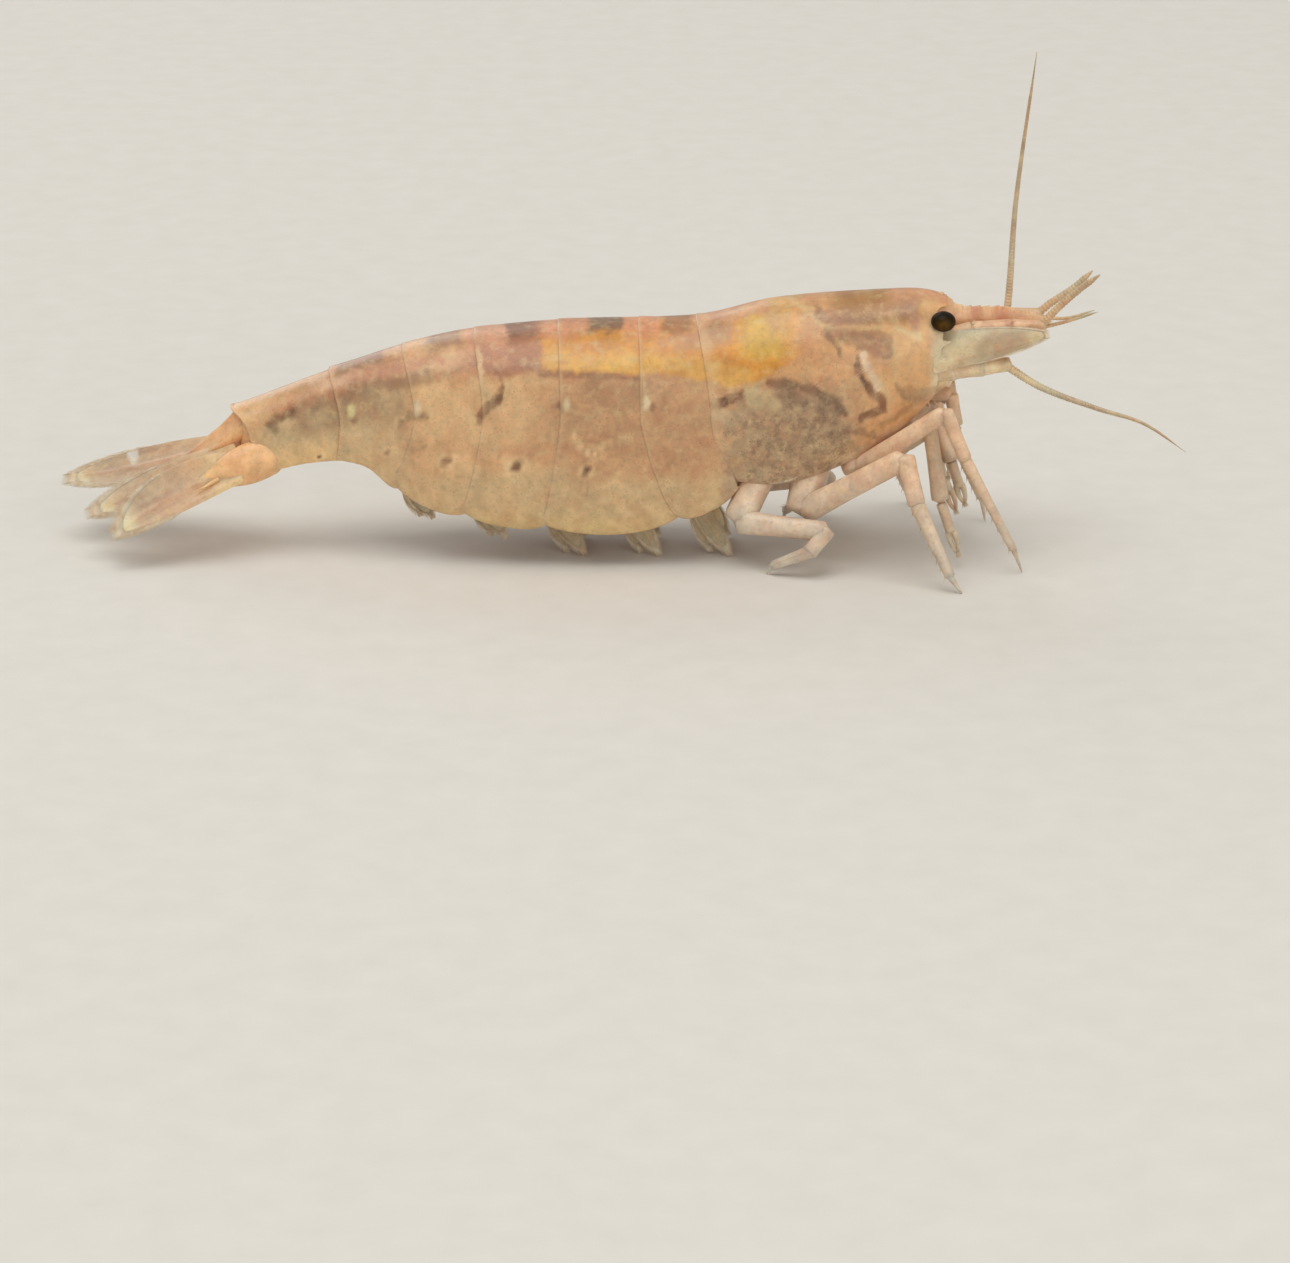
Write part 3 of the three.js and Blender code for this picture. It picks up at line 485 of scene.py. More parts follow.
def pigment_material(name, specks, depth, gloss, alpha=1.0, cell_scale=11000.0):
    """Coloured living skin under a clear shell: the painted colour, with pigment cells strewn over it."""
    made, tree, surface = blank_material(name)
    where = add_node(tree, "ShaderNodeTexCoord").outputs["Object"]
    painted = add_node(tree, "ShaderNodeVertexColor", layer_name="pigment")
    haze = clouds(tree, where, HAZE, 6.0, 0.62)
    skin = shaded(tree, painted.outputs["Color"], spread(tree, haze, 0.3, 0.7, 0.84, 1.13))
    for scale, low, high, most, colour in SKIN_DRIFTS:
        share = spread(tree, clouds(tree, where, scale, 5.0, 0.6), low, high, 0.0, most)
        skin = mixed(tree, share, skin, colour)
    # the dark net over the gills, where the skin is most speckled
    knots = spread(tree, clouds(tree, where, NET, 6.0, 0.68), 0.46, 0.62, 0.0, 0.48)
    gills = spread(tree, painted.outputs["Alpha"], 0.65, 1.0)
    skin = mixed(tree, product(tree, knots, gills), skin, GILL_NET)
    # the cells: dots that thin out in patches, some redder and some darker
    cells = add_node(tree, "ShaderNodeTexVoronoi", {"Vector": where, "Scale": cell_scale, "Randomness": 1.0})
    dots = spread(tree, cells.outputs["Distance"], 0.30, 0.12)
    patches = spread(tree, clouds(tree, where, PATCHES, 3.0), 0.42, 0.62)
    strewn = product(tree, product(tree, product(tree, dots, patches), painted.outputs["Alpha"]), specks)
    skin = mixed(tree, strewn, skin, mixed(tree, cells.outputs["Color"], RED_CELL, DARK_CELL))
    relief = add_node(tree, "ShaderNodeBump", {
        "Height": clouds(tree, where, PITS, 3.0), "Strength": 0.22, "Distance": 0.00003,
    })
    shader = add_node(tree, "ShaderNodeBsdfPrincipled", {
        "Base Color": skin, "Roughness": spread(tree, haze, 0.3, 0.7, 0.3, 0.48),
        "Normal": relief.outputs["Normal"],
        "Subsurface Weight": depth, "Subsurface Radius": FLESH_SCATTER, "Subsurface Scale": 0.00045,
        "Coat Weight": gloss, "Coat Roughness": 0.22, "IOR": 1.45, "Alpha": alpha,
    })
    tree.links.new(shader.outputs["BSDF"], surface.inputs["Surface"])
    return made


shell_skin = pigment_material("shell_skin", specks=0.75, depth=0.35, gloss=0.35)
# pale rim along each plate's rear edge: a pale line at the seam, lightened further as painted light over the
# shade of the ledge
PLATE_RIM = paint(0.93, 0.74, 0.57)
HEM_TURN, HEM_TURN_IN = 0.12, 0.05  # the hem's rolled strip in quarter turns, and how far it turns in
INSIDE_HEIGHT = 4.2  # a height that is inside the body all along it


def plate(name, replaces, rear, front, hem, tuck, grid, scallop,
          proud=(0.02, -0.05), reach=(0.12, 0.2)):
    """One ring of the shell. Its rear edge stands proud of the next ring and its front edge is tucked in."""
    around, along = grid
    bm = bmesh.new()
    made = bmesh.ops.create_grid(bm, x_segments=around, y_segments=along, size=0.5)["verts"]
    shares = []
    for vert in made:
        angle = vert.co.x * 2 * HEM * QUARTER
        share = vert.co.y + 0.5
        shares.append(share)
        start, end = seam_at(rear, angle) - reach[0], front(angle) + reach[1]
        x = start + (end - start) * share
        lift = proud[0] * (1 - ease(share, 0.0, 0.3)) + proud[1] * ease(share, 0.88, 1.0)
        corner = abs(2 * share - 1) ** 3
        roll = ease(abs(angle) / QUARTER, HEM - HEM_TURN, HEM)
        out = float(lift) - HEM_TURN_IN * float(roll)
        vert.co = body_point(x, angle, hem(x) + scallop * corner, tuck, out)
    outward = 0.0
    for face in bm.faces:
        middle = face.calc_center_median()
        outward += (middle - Vector((middle.x, 0, INSIDE_HEIGHT))).dot(face.normal)
    if outward < 0:
        bmesh.ops.reverse_faces(bm, faces=bm.faces)

    def coloured(points):
        tint = pigment(points)
        # the pale rim is partly the seam's own pale line and partly painted light that lifts the ledge's
        # shade
        rim = 1 - ease(np.array(shares), 0.01, 0.07)
        tint[:, :3] = blend(tint[:, :3], PLATE_RIM, rim * 0.4)
        return tint

    made = piece(name, bm, shell_skin, replaces=(replaces,), colours=coloured)
    wall = made.modifiers.new("wall", "SOLIDIFY")
    wall.thickness = SHELL_WALL / 1000
    wall.offset = -1
    wall.use_rim = True


CHEST_TUCK, RING_TUCK = 0.2, 0.12  # how far the lower wall leans in
FACE_SPINE = (6.28, 0.06, 0.3)  # the spine below the eye: its height, half width and length


def chest_front(angle):
    """The front edge of the shell: a notch round the eye and a small spine below it."""
    x = seam_at(CHEST_FRONT, angle)
    z = body_point(x, angle, chest_hem(x), CHEST_TUCK).z
    orbit_x, orbit_z, radius = ORBIT
    inside = radius ** 2 - (z - orbit_z) ** 2
    if inside > 0 and abs(angle) > 0.5:
        x = min(x, orbit_x - math.sqrt(inside))
    spine_z, spine_half, spine_long = FACE_SPINE
    return x + spine_long * math.exp(-((z - spine_z) / spine_half) ** 2) * (abs(angle) < 2)


plate("chest_shell", "carapace", SEAMS[0], chest_front, chest_hem, CHEST_TUCK, (190, 170), 0.45,
      proud=(0.014, 0.0), reach=(0.12, 0.0))
RINGS = [  # mesh columns round and along, how far the corners of the hem rise, and the slot
    (150, 60, 0.3, "shell"), (150, 60, 0.3, "shell"), (140, 60, 0.3, "shell"),
    (130, 56, 0.3, "rear_shell"), (120, 56, 0.12, "rear_shell"), (110, 64, 0.0, "rear_shell"),
]
for number, (around, along, scallop, slot) in enumerate(RINGS, start=1):
    ahead = SEAMS[number - 1]
    plate(f"tail_ring_{number}", f"abdomen_{number}", SEAMS[number],
          lambda angle, seam=ahead: seam_at(seam, angle), plate_hem, RING_TUCK, (around, along), scallop)


# ---- The flesh under the shell ----
# One closed body of muscle and skin that fills the shell, with a ribbed breastplate between the
# legs and the swimmerets. It shows at the seams, below the plates and at the front of the head.

FLESH_REAR, FLESH_FRONT = -9.02, 11.15
FLESH_INSET = 0.1
REAR_CAP, FRONT_CAP = 0.016, 0.036  # length of the round ends, as a share of the whole
FACE, BROW = (10.1, 10.7), (10.6, 11.1)  # x where each begins and is full
EYE_LEVEL = (6.15, 6.5)
flesh_bm = bmesh.new()


def rolled(bm, around, rings, place):
    """A grid rolled into a closed tube: place(share along, angle) gives each point."""
    made = bmesh.ops.create_grid(bm, x_segments=around, y_segments=rings, size=0.5)["verts"]
    for vert in made:
        vert.co = place(vert.co.y + 0.5, (vert.co.x + 0.5) * 4 * QUARTER)
    bmesh.ops.remove_doubles(bm, verts=made, dist=1e-4)


def face_out(bm):
    """Closed shapes with their faces turned outwards."""
    bmesh.ops.recalc_face_normals(bm, faces=bm.faces)


def rounded(share, cap):
    """1 along a body and a round end at each side."""
    near = min(share, 1 - share) / cap
    return 1.0 if near >= 1 else math.sqrt(max(0.0, 1 - (1 - near) ** 2))


def flesh_place(share, angle):
    """The flesh follows the shell a little inside it; the brow is low and the face slim beside the eyes."""
    x = FLESH_REAR + (FLESH_FRONT - FLESH_REAR) * share
    ends = rounded(share, REAR_CAP if share < 0.5 else FRONT_CAP)
    crown = rounded(share, REAR_CAP)
    turn = angle if angle < 2 * QUARTER else angle - 4 * QUARTER
    side = abs(turn) / QUARTER
    face = float(ease(x, *FACE))
    level = flank(x) - 0.3 * face
    high = back(x) - FLESH_INSET - 0.35 * float(ease(x, *BROW)) - level
    beside_eye = float(ease(level + high * math.cos(turn), *EYE_LEVEL)) if side <= 1 else 0.0
    width = (half_width(x) - FLESH_INSET) * (1 - (0.02 + 0.14 * beside_eye) * face)
    if side <= 1:
        y, z = width * math.sin(turn), level + high * math.cos(turn)
    else:
        floor_z = breastplate(x) - 0.04 * math.cos(x * 6.0) if x > -6 else plate_hem(x) + 0.08
        wall = side - 1
        y = math.copysign(width * (1 - 0.35 * wall ** 2) * math.cos(wall * QUARTER) ** 0.35, turn)
        z = level + (floor_z - level) * math.sin(wall * QUARTER)
    middle = level - 0.2
    return Vector((x, y * ends, middle + (z - middle) * (crown if z > middle else ends)))


rolled(flesh_bm, 72, 240, flesh_place)
face_out(flesh_bm)
flesh_skin = pigment_material("flesh_skin", specks=0.4, depth=0.4, gloss=0.15)
piece("flesh", flesh_bm, flesh_skin, colours=pigment)


# ---- The rostrum ----
# A thin keel that runs forward from the crest of the shell, saw-toothed above and below, with a
# low rib on each flank. It is one with the shell and just as translucent.

BLADE_REAR, BLADE_TIP = 9.5, 13.8
blade_top = profile([(9.5, 7.4), (10.3, 7.5), (10.7, 7.45), (11.15, 7.12),
                     (11.8, 7.08), (12.5, 7.07), (13.2, 6.9), (13.8, 6.66)])
blade_low = profile([(9.5, 7.1), (10, 6.85), (11.3, 6.5), (12.5, 6.42), (13.2, 6.46), (13.8, 6.62)])
BLADE_ROOT = 10.2  # where it leaves the shell
TOOTH_PITCH, TOOTH_HIGH, LOW_TOOTH_DEEP = 0.26, 0.06, 0.05
TEETH_FROM, LOW_TEETH_FROM, TEETH_TO = 10.6, 12.1, 13.5
BLADE_TINT = (*paint(0.88, 0.71, 0.55), 0.4)
BLADE_BANDS = [  # x, half width, colour and strength
    (10.5, 0.4, paint(0.90, 0.70, 0.52), 0.7), (11.25, 0.2, paint(0.93, 0.77, 0.60), 0.7),
    (11.7, 0.24, paint(0.78, 0.53, 0.40), 0.7), (12.4, 0.3, paint(0.82, 0.56, 0.43), 0.6),
    (13.3, 0.4, paint(0.95, 0.78, 0.62), 0.8),
]


def blade_place(share, angle):
    """The keel is thickest along its rib and where it leaves the shell, and sharp at both edges."""
    x = BLADE_REAR + (BLADE_TIP - BLADE_REAR) * share
    top, low = blade_top(x), blade_low(x)
    bite = ((x - BLADE_ROOT) / TOOTH_PITCH) % 1
    if TEETH_FROM < x < TEETH_TO:
        top += TOOTH_HIGH * bite ** 1.5 * (1 - 0.5 * share)
    if LOW_TEETH_FROM < x < TEETH_TO:
        low -= LOW_TOOTH_DEEP * bite ** 1.5
    rib = low + (top - low) * 0.35
    slim = 0.3 * (1 - share) ** 0.8 + 0.02 + 0.3 * math.exp(-((x - BLADE_ROOT) / 0.6) ** 2)
    end = min(1.0, share / 0.02, (1 - share) / 0.02)
    across, upward = math.sin(angle), math.cos(angle)
    z = rib + (top - rib) * upward if upward > 0 else rib + (rib - low) * upward
    return Vector((x, slim * across * abs(across) ** 1.3 * end, rib + (z - rib) * end))


def rostrum_tint(points):
    """The keel's own colour with slanting bands across it."""
    tint = np.tile(BLADE_TINT, (len(points), 1))
    x, _, z = np.array([tuple(p) for p in points]).T
    for at, wide, colour, strength in BLADE_BANDS:
        away = np.abs(x - at + 0.3 * (z - 6.8))
        tint[:, :3] = blend(tint[:, :3], colour, ease(away, wide, wide * 0.3) * strength)
    return tint


blade_bm = bmesh.new()
rolled(blade_bm, 20, 220, blade_place)
face_out(blade_bm)
piece("rostrum_blade", blade_bm, shell_skin, replaces=("rostrum",), colours=rostrum_tint)


# ---- Limbs: how a jointed leg is drawn ----
# Each joint piece is a closed tapering sleeve, waisted in the middle and flared where the next one
# is hinged. Bristles are solid spikes; each takes a small patch of their map by where it is rooted.


def path_through(points, count):
    """Evenly spaced places on a smooth curve through a few points."""
    points = [Vector(p) for p in points]
    gone = [0.0]
    for before, after in zip(points, points[1:]):
        gone.append(gone[-1] + (after - before).length)
    axes = [profile([(d, p[k]) for d, p in zip(gone, points)]) for k in range(3)]
    return [Vector([axis(gone[-1] * i / (count - 1)) for axis in axes]) for i in range(count)]


def tube(bm, path, radius, around=10, flat=1.0, across=Vector((0, 1, 0))):
    """A closed tube along a path; radius(share) shrinks to nothing at both ends."""
    last = len(path) - 1
    frames = []
    for k, point in enumerate(path):
        along = (path[min(k + 1, last)] - path[max(k - 1, 0)]).normalized()
        across = (across - along * across.dot(along)).normalized()
        frames.append((point, across.copy(), along.cross(across)))

    def place(share, angle):
        point, side, up = frames[round(share * last)]
        reach = radius(share)
        return point + side * (reach * math.sin(angle)) + up * (reach * flat * math.cos(angle))

    rolled(bm, around, last, place)


SLEEVE_RINGS = 16


def sleeve(bm, start, end, wide, narrow, around=12, flat=1.0):
    """One joint piece of a limb, from wide at its root to narrow at its tip."""
    path = [start.lerp(end, k / SLEEVE_RINGS) for k in range(SLEEVE_RINGS + 1)]

    def radius(share):
        waist = 1 - 0.08 * math.sin(math.pi * share)
        return (wide + (narrow - wide) * share) * waist * rounded(share, 0.1)

    tube(bm, path, radius, around, flat)


def jointed(bm, joints, widths, behind, ahead, **shape):
    """A row of joint pieces, each run a little into its neighbours."""
    for start, end, (wide, narrow) in zip(joints, joints[1:], widths):
        run = (end - start).normalized()
        sleeve(bm, start - run * behind, end + run * ahead, wide, narrow, **shape)


def bristle(bm, root, tip, width, at):
    """A stiff hair from its root to its tip."""
    turned = (tip - root).to_track_quat("Z", "Y").to_matrix().to_4x4()
    seat = Matrix.Translation(root.lerp(tip, 0.5)) @ turned
    made = bmesh.ops.create_cone(bm, cap_ends=True, segments=4, radius1=width, radius2=width * 0.12,
                                 depth=(tip - root).length, matrix=seat)["verts"]
    patch = bm.loops.layers.uv.get("OFBake") or bm.loops.layers.uv.new("OFBake")
    for face in {face for vert in made for face in vert.link_faces}:
        for k, loop in enumerate(face.loops):
            loop[patch].uv = (at[0] + 0.003 * (k in (1, 2)), at[1] + 0.003 * (k > 1))


def bristle_material(name, root_tint, tip_tint, alpha=1.0):
    """Pale horn, clouded from one tint to the other."""
    made, tree, surface = blank_material(name)
    where = add_node(tree, "ShaderNodeTexCoord").outputs["Object"]
    shade = add_node(tree, "ShaderNodeValToRGB", {"Fac": clouds(tree, where, 4000.0, 3.0)})
    shade.color_ramp.elements[0].position = 0.35
    shade.color_ramp.elements[1].position = 0.65
    shade.color_ramp.elements[0].color = (*root_tint, 1)
    shade.color_ramp.elements[1].color = (*tip_tint, 1)
    shader = add_node(tree, "ShaderNodeBsdfPrincipled", {
        "Base Color": shade.outputs["Color"], "Roughness": 0.45, "Subsurface Weight": 0.3,
        "Subsurface Radius": (1.0, 0.7, 0.5), "Subsurface Scale": 0.0002, "Alpha": alpha,
    })
    tree.links.new(shader.outputs["BSDF"], surface.inputs["Surface"])
    return made


def side_of(points, side):
    """The points of a left limb, carried to the given side."""
    return [Vector((x, y * side, z)) for x, y, z in points]


def set_apart(points, side, shift):
    """A limb on the given side; the left one's foot stands off along the body by the shift."""
    last = len(points) - 1
    return [Vector((x + (shift * k / last if side > 0 else 0), y * side, z))
            for k, (x, y, z) in enumerate(points)]


bristle_horn = bristle_material("bristle_horn", paint(0.82, 0.70, 0.54), paint(0.93, 0.86, 0.74))
limb_skin = pigment_material("limb_skin", specks=0.4, depth=0.2, gloss=0.25, cell_scale=9000.0)
SIDES = (("right", -1), ("left", 1))
KNUCKLE_TINT = paint(0.70, 0.48, 0.38)


def limb_tint(joints, near_body, far_end, knuckle=KNUCKLE_TINT):
    """Skin of a limb: its colour runs from the body to the tip, with a darker cell or two at each joint."""
    joints = [Vector(j) for j in joints]

    def tints(points):
        high, low = joints[0].z, joints[-1].z
        made = []
        for p in points:
            down = min(max((high - p.z) / max(high - low, 0.1), 0), 1)
            colour = Vector(near_body).lerp(Vector(far_end), down)
            away = min((p - j).length for j in joints[1:])
            patch = max(0.0, 1 - away / 0.4) * (0.2 + 0.5 * noise.noise(p * 4.0))
            colour = colour.lerp(Vector(knuckle), min(max(patch, 0), 0.6))
            made.append((*(colour * (1 + 0.18 * noise.noise(p * 2.5))), 0.4))
        return np.array(made)

    return tints


# ---- Walking legs ----
# Three pairs of slender legs of five pieces: thigh root, long thigh, short knee, shin, and a small
# hooked claw with three spines under it, which is all that touches the ground.

LEGS = {  # joints of the left leg, shift of its foot, stoutness
    "leg_5": ([(6.0, 0.9, 3.3), (5.0, 1.75, 1.35), (7.45, 2.5, 1.3),
               (7.0, 2.75, 0.8), (6.0, 2.45, 0.3), (5.8, 2.35, 0)], 0.6, 1.05),
    "leg_4": ([(7.2, 0.9, 3.3), (6.8, 1.65, 1.6), (9.57, 2.8, 3.53),
               (9.89, 3.2, 2.35), (10.82, 3.9, 0.45), (11.14, 4.0, 0)], -0.9, 1.15),
    "leg_3": ([(8.0, 0.85, 3.5), (8.3, 1.35, 2.75), (10.7, 2.3, 4.7),
               (11.25, 2.4, 3.4), (12.7, 2.3, 0.65), (12.95, 2.2, 0)], -0.7, 0.88),
}
LEG_PIECES = [  # half width at the root and the tip, flatness, and number of bristles
    (0.42, 0.34, 1.25, 0), (0.30, 0.24, 1.2, 0), (0.23, 0.20, 1.1, 4),
    (0.20, 0.13, 1.0, 9), (0.12, 0.02, 0.9, 0),
]
LEG_TINTS = (paint(0.94, 0.81, 0.68), paint(0.79, 0.78, 0.73), paint(0.74, 0.56, 0.46))
CLAW_SPINES = 3
for leg_name, (left_joints, shift, stout) in LEGS.items():
    for side_name, side in SIDES:
        joints = set_apart(left_joints, side, shift)
        leg_bm = bmesh.new()
        hair_bm = bmesh.new()
        for k, (wide, narrow, flat, hairs) in enumerate(LEG_PIECES):
            wide, narrow = wide * stout, narrow * stout
            start, end = joints[k], joints[k + 1]
            run = (end - start).normalized()
            sleeve(leg_bm, start - run * 0.13, end + run * (0.12 if k < 4 else 0), wide, narrow, flat=flat)
            under = Vector((-1, 0, -0.3)).cross(run).cross(run).normalized() * -1
            for hair in range(hairs):
                share = (hair + 0.6) / hairs
                root = start.lerp(end, share) + under * (wide + (narrow - wide) * share) * 0.85
                bristle(hair_bm, root, root + under * 0.10 + run * 0.16, 0.018, (0.1 + 0.09 * hair, 0.2 * k))
        claw = (joints[5] - joints[4]).normalized()
        for spine in range(CLAW_SPINES):
            root = joints[4].lerp(joints[5], 0.35 + 0.2 * spine)
            bristle(hair_bm, root, root + claw * 0.07 + Vector((-0.07, 0, 0.0)), 0.022, (0.9, 0.1 * spine))
        face_out(leg_bm)
        piece(f"{leg_name}_skin_{side_name}", leg_bm, limb_skin, replaces=(f"{leg_name}_{side_name}",),
              colours=limb_tint(joints, *LEG_TINTS))
        piece(f"{leg_name}_bristles_{side_name}", hair_bm, bristle_horn)


# ---- Claw legs ----
# Two pairs of short legs under the head, each ending in a palm and two fingers whose tips carry a
# brush of hairs for picking up food.

CLAW_LEGS = {  # joints of the left leg from the body to the finger tips, and the shift of its tip
    "cheliped_2": ([(8.85, 0.7, 3.7), (9.2, 0.95, 3.0), (10.3, 1.5, 4.1),
                    (10.65, 1.8, 1.95), (11.2, 1.9, 0.35)], 0.2),
    "cheliped_1": ([(9.5, 0.6, 4.1), (9.75, 0.8, 3.4), (10.55, 1.1, 3.95),
                    (10.95, 1.25, 3.0), (11.4, 1.2, 1.6)], -0.3),
}
CLAW_WIDTHS = [(0.34, 0.29), (0.27, 0.22), (0.18, 0.24)]
CLAW_TINTS = (paint(0.84, 0.74, 0.62), paint(0.82, 0.77, 0.68))
BRUSH_HAIRS = 16


def finger_radius(share):
    """A finger narrows to half its width and has a blunt tip."""
    return 0.1 * (1 - 0.55 * share) * rounded(share, 0.12)


for leg_name, (left_joints, shift) in CLAW_LEGS.items():
    for side_name, side in SIDES:
        joints = set_apart(left_joints, side, shift)
        leg_bm = bmesh.new()
        hair_bm = bmesh.new()
        jointed(leg_bm, joints, CLAW_WIDTHS, 0.12, 0.08, flat=1.1)
        wrist, tip = joints[3], joints[4]
        run = (tip - wrist).normalized()
        apart = Vector((1, 0, 0.2)).cross(run).cross(run).normalized()
        knuckles = wrist.lerp(tip, 0.5)
        sleeve(leg_bm, wrist, knuckles + run * 0.1, 0.19, 0.2, flat=0.8)
        for finger in (-1, 1):
            root = knuckles + apart * 0.08 * finger
            middle = wrist.lerp(tip, 0.75) + apart * 0.085 * finger
            end = tip + apart * 0.02 * finger - run * 0.12
            tube(leg_bm, path_through([root, middle, end], 14), finger_radius)
            for hair in range(BRUSH_HAIRS):
                turn = hair * 2.4
                out = (apart * math.cos(turn) + run.cross(apart) * math.sin(turn)) * 0.05
                bristle(hair_bm, end - run * 0.05 + out * 0.4, end + run * 0.13 + out * 1.5, 0.012,
                        (0.5 + 0.02 * hair, 0.5))
        face_out(leg_bm)
        piece(f"{leg_name}_skin_{side_name}", leg_bm, limb_skin, replaces=(f"{leg_name}_{side_name}",),
              colours=limb_tint(joints, *CLAW_TINTS))
        piece(f"{leg_name}_brush_{side_name}", hair_bm, bristle_horn)


# ---- Mouth ----
# Jaws and leaf-shaped palps packed under the head, and a pair of leg-like outer palps with a comb
# of hairs along their last piece.

PALP_ROOT, PALP_TIP = paint(0.86, 0.73, 0.60), paint(0.84, 0.77, 0.66)
PALP_LEAVES, COMB_HAIRS = 4, 26
mouth_bm = bmesh.new()
mouth_path = path_through([(9.85, 0, 4.6), (10.35, 0, 4.52), (10.85, 0, 4.8)], 24)
tube(mouth_bm, mouth_path, lambda s: (0.36 + 0.12 * math.sin(math.pi * s)) * rounded(s, 0.25), 20, flat=0.7)
for side_name, side in SIDES:
    for k in range(PALP_LEAVES):
        root = Vector((10.05 + 0.22 * k, 0.30 * side, 4.75 - 0.05 * k))
        end = Vector((10.45 + 0.2 * k, (0.42 - 0.07 * k) * side, 4.1 + 0.08 * k))
        tube(mouth_bm, path_through([root, root.lerp(end, 0.5) + Vector((0.08, 0.1 * side, 0)), end], 14),
             lambda s: 0.17 * math.sin(math.pi * min(s * 1.15 + 0.05, 1)) + 0.005, 12, flat=0.4)
face_out(mouth_bm)
piece("jaws_and_palps", mouth_bm, limb_skin, replaces=("mouthparts",),
      colours=limb_tint([(10, 0, 5.2), (10.4, 0.3, 4.3), (10.7, 0, 4.1)], paint(0.86, 0.70, 0.56), PALP_ROOT))

OUTER_PALP = [(10.0, 0.5, 4.75), (10.95, 0.62, 4.7), (11.15, 0.6, 3.8), (10.7, 0.5, 3.1)]
PALP_WIDTHS = [(0.22, 0.19), (0.19, 0.16), (0.16, 0.05)]
for side_name, side in SIDES:
    joints = side_of(OUTER_PALP, side)
    palp_bm = bmesh.new()
    hair_bm = bmesh.new()
    jointed(palp_bm, joints, PALP_WIDTHS, 0.05, 0.04, flat=1.1)
    run = (joints[3] - joints[2]).normalized()
    for hair in range(COMB_HAIRS):
        share = 0.15 + 0.85 * hair / COMB_HAIRS
        root = joints[2].lerp(joints[3], share)
        lean = Vector((0.75, 0.25 * math.sin(hair * 2.0) * side, -0.35))
        bristle(hair_bm, root, root + (run * 0.5 + lean) * 0.22, 0.013, (0.2 + 0.02 * hair, 0.4))
    face_out(palp_bm)
    piece(f"outer_palp_{side_name}", palp_bm, limb_skin, replaces=(f"maxilliped_{side_name}",),
          colours=limb_tint(joints, PALP_ROOT, PALP_TIP))
    piece(f"palp_comb_{side_name}", hair_bm, bristle_horn)


# ---- Eyes ----
# A round eye of many tiny lenses, black-brown with a tawny glow deep inside, set on a short stalk
# that sits in the notch of the shell. The cornea is smooth, with a faint gloss.

EYE_AT, EYE_RADIUS, EYE_HIGH = Vector((10.66, 0.98, 6.92)), 0.342, 0.82
LEFT_EYE_SINKS = 0.16
STALK = [(10.3, 0.25, 6.55), (10.52, 0.55, 6.76), (10.64, 0.86, 6.88)]
EYE_DARK, EYE_GLOW = Vector(paint(0.10, 0.07, 0.02)), Vector(paint(0.38, 0.26, 0.05))
cornea, tree, surface = blank_material("cornea")
where = add_node(tree, "ShaderNodeTexCoord").outputs["Object"]
painted = add_node(tree, "ShaderNodeVertexColor", layer_name="pigment")
warm = spread(tree, clouds(tree, where, 7000.0, 3.0), 0.3, 0.7, 0.7, 1.3)
lenses = add_node(tree, "ShaderNodeTexVoronoi", {"Vector": where, "Scale": 34000.0, "Randomness": 0.25})
relief = add_node(tree, "ShaderNodeBump", {
    "Height": lenses.outputs["Distance"], "Strength": 0.35, "Distance": 0.00001,
}, invert=True)
shader = add_node(tree, "ShaderNodeBsdfPrincipled", {
    "Base Color": shaded(tree, painted.outputs["Color"], warm), "Roughness": 0.45,
    "Normal": relief.outputs["Normal"],
    "Coat Weight": 0.07, "Coat Roughness": 0.1, "Specular IOR Level": 0.08,
})
tree.links.new(shader.outputs["BSDF"], surface.inputs["Surface"])


def eye_tint(points):
    """Near-black, with a tawny patch that faces outwards and a little down."""
    made = []
    for p in points:
        sink = LEFT_EYE_SINKS if p.y > 0 else 0.0
        out = (p - Vector((EYE_AT.x, math.copysign(EYE_AT.y, p.y), EYE_AT.z - sink))) / EYE_RADIUS
        glow = math.exp(-(((out.x + 0.02) / 0.55) ** 2 + ((out.z + 0.08) / 0.42) ** 2)) * (abs(out.y) > 0.2)
        made.append((*EYE_DARK.lerp(EYE_GLOW, 0.9 * glow), 0))
    return np.array(made)


for side_name, side in SIDES:
    eye_bm = bmesh.new()
    bmesh.ops.create_icosphere(eye_bm, subdivisions=5, radius=EYE_RADIUS)
    sink = Vector((0, 0, LEFT_EYE_SINKS if side > 0 else 0))
    centre = Vector((EYE_AT.x, EYE_AT.y * side, EYE_AT.z)) - sink
    for vert in eye_bm.verts:
        bulge = 1 + 0.04 * max(0.0, vert.co.normalized().y * side)
        vert.co = centre + Vector((vert.co.x, vert.co.y, vert.co.z * EYE_HIGH)) * bulge
    piece(f"cornea_{side_name}", eye_bm, cornea, replaces=(f"eye_{side_name}",), colours=eye_tint)
    stalk_bm = bmesh.new()
    stalk = [joint - sink for joint in side_of(STALK, side)]
    tube(stalk_bm, path_through(stalk, 20), lambda s: (0.2 + 0.12 * s ** 2) * rounded(s, 0.08), 24)
    face_out(stalk_bm)
    piece(f"stalk_{side_name}", stalk_bm, limb_skin, replaces=(f"eyestalk_{side_name}",),
          colours=limb_tint(stalk, paint(0.86, 0.68, 0.54), paint(0.82, 0.64, 0.50)))


# ---- Feelers ----
# The first pair has a stalk of three pieces with a spine beside it, a thick outer lash and a fine
# inner one. The second pair has a stout stalk and one long lash. The lashes are strings of tiny rings.


def ringed_lash(bm, path, thick, fine, pitch):
    """A tapering lash of beads, one every pitch millimetres."""
    length = sum((b - a).length for a, b in zip(path, path[1:]))

    def radius(share):
        bead = abs(math.sin(math.pi * share * length / pitch))
        end = min(1.0, 0.25 + (1 - share) / 0.2)
        return (thick + (fine - thick) * share ** 0.8) * (0.86 + 0.2 * bead) * rounded(share, 0.004) * end

    tube(bm, path, radius, around=8)


def thorn(bm, points, thick, flat=1.0):
    """A spine that tapers evenly to its point."""
    tube(bm, path_through(points, 12), lambda share: thick * (1 - share) + 0.004, 8, flat)


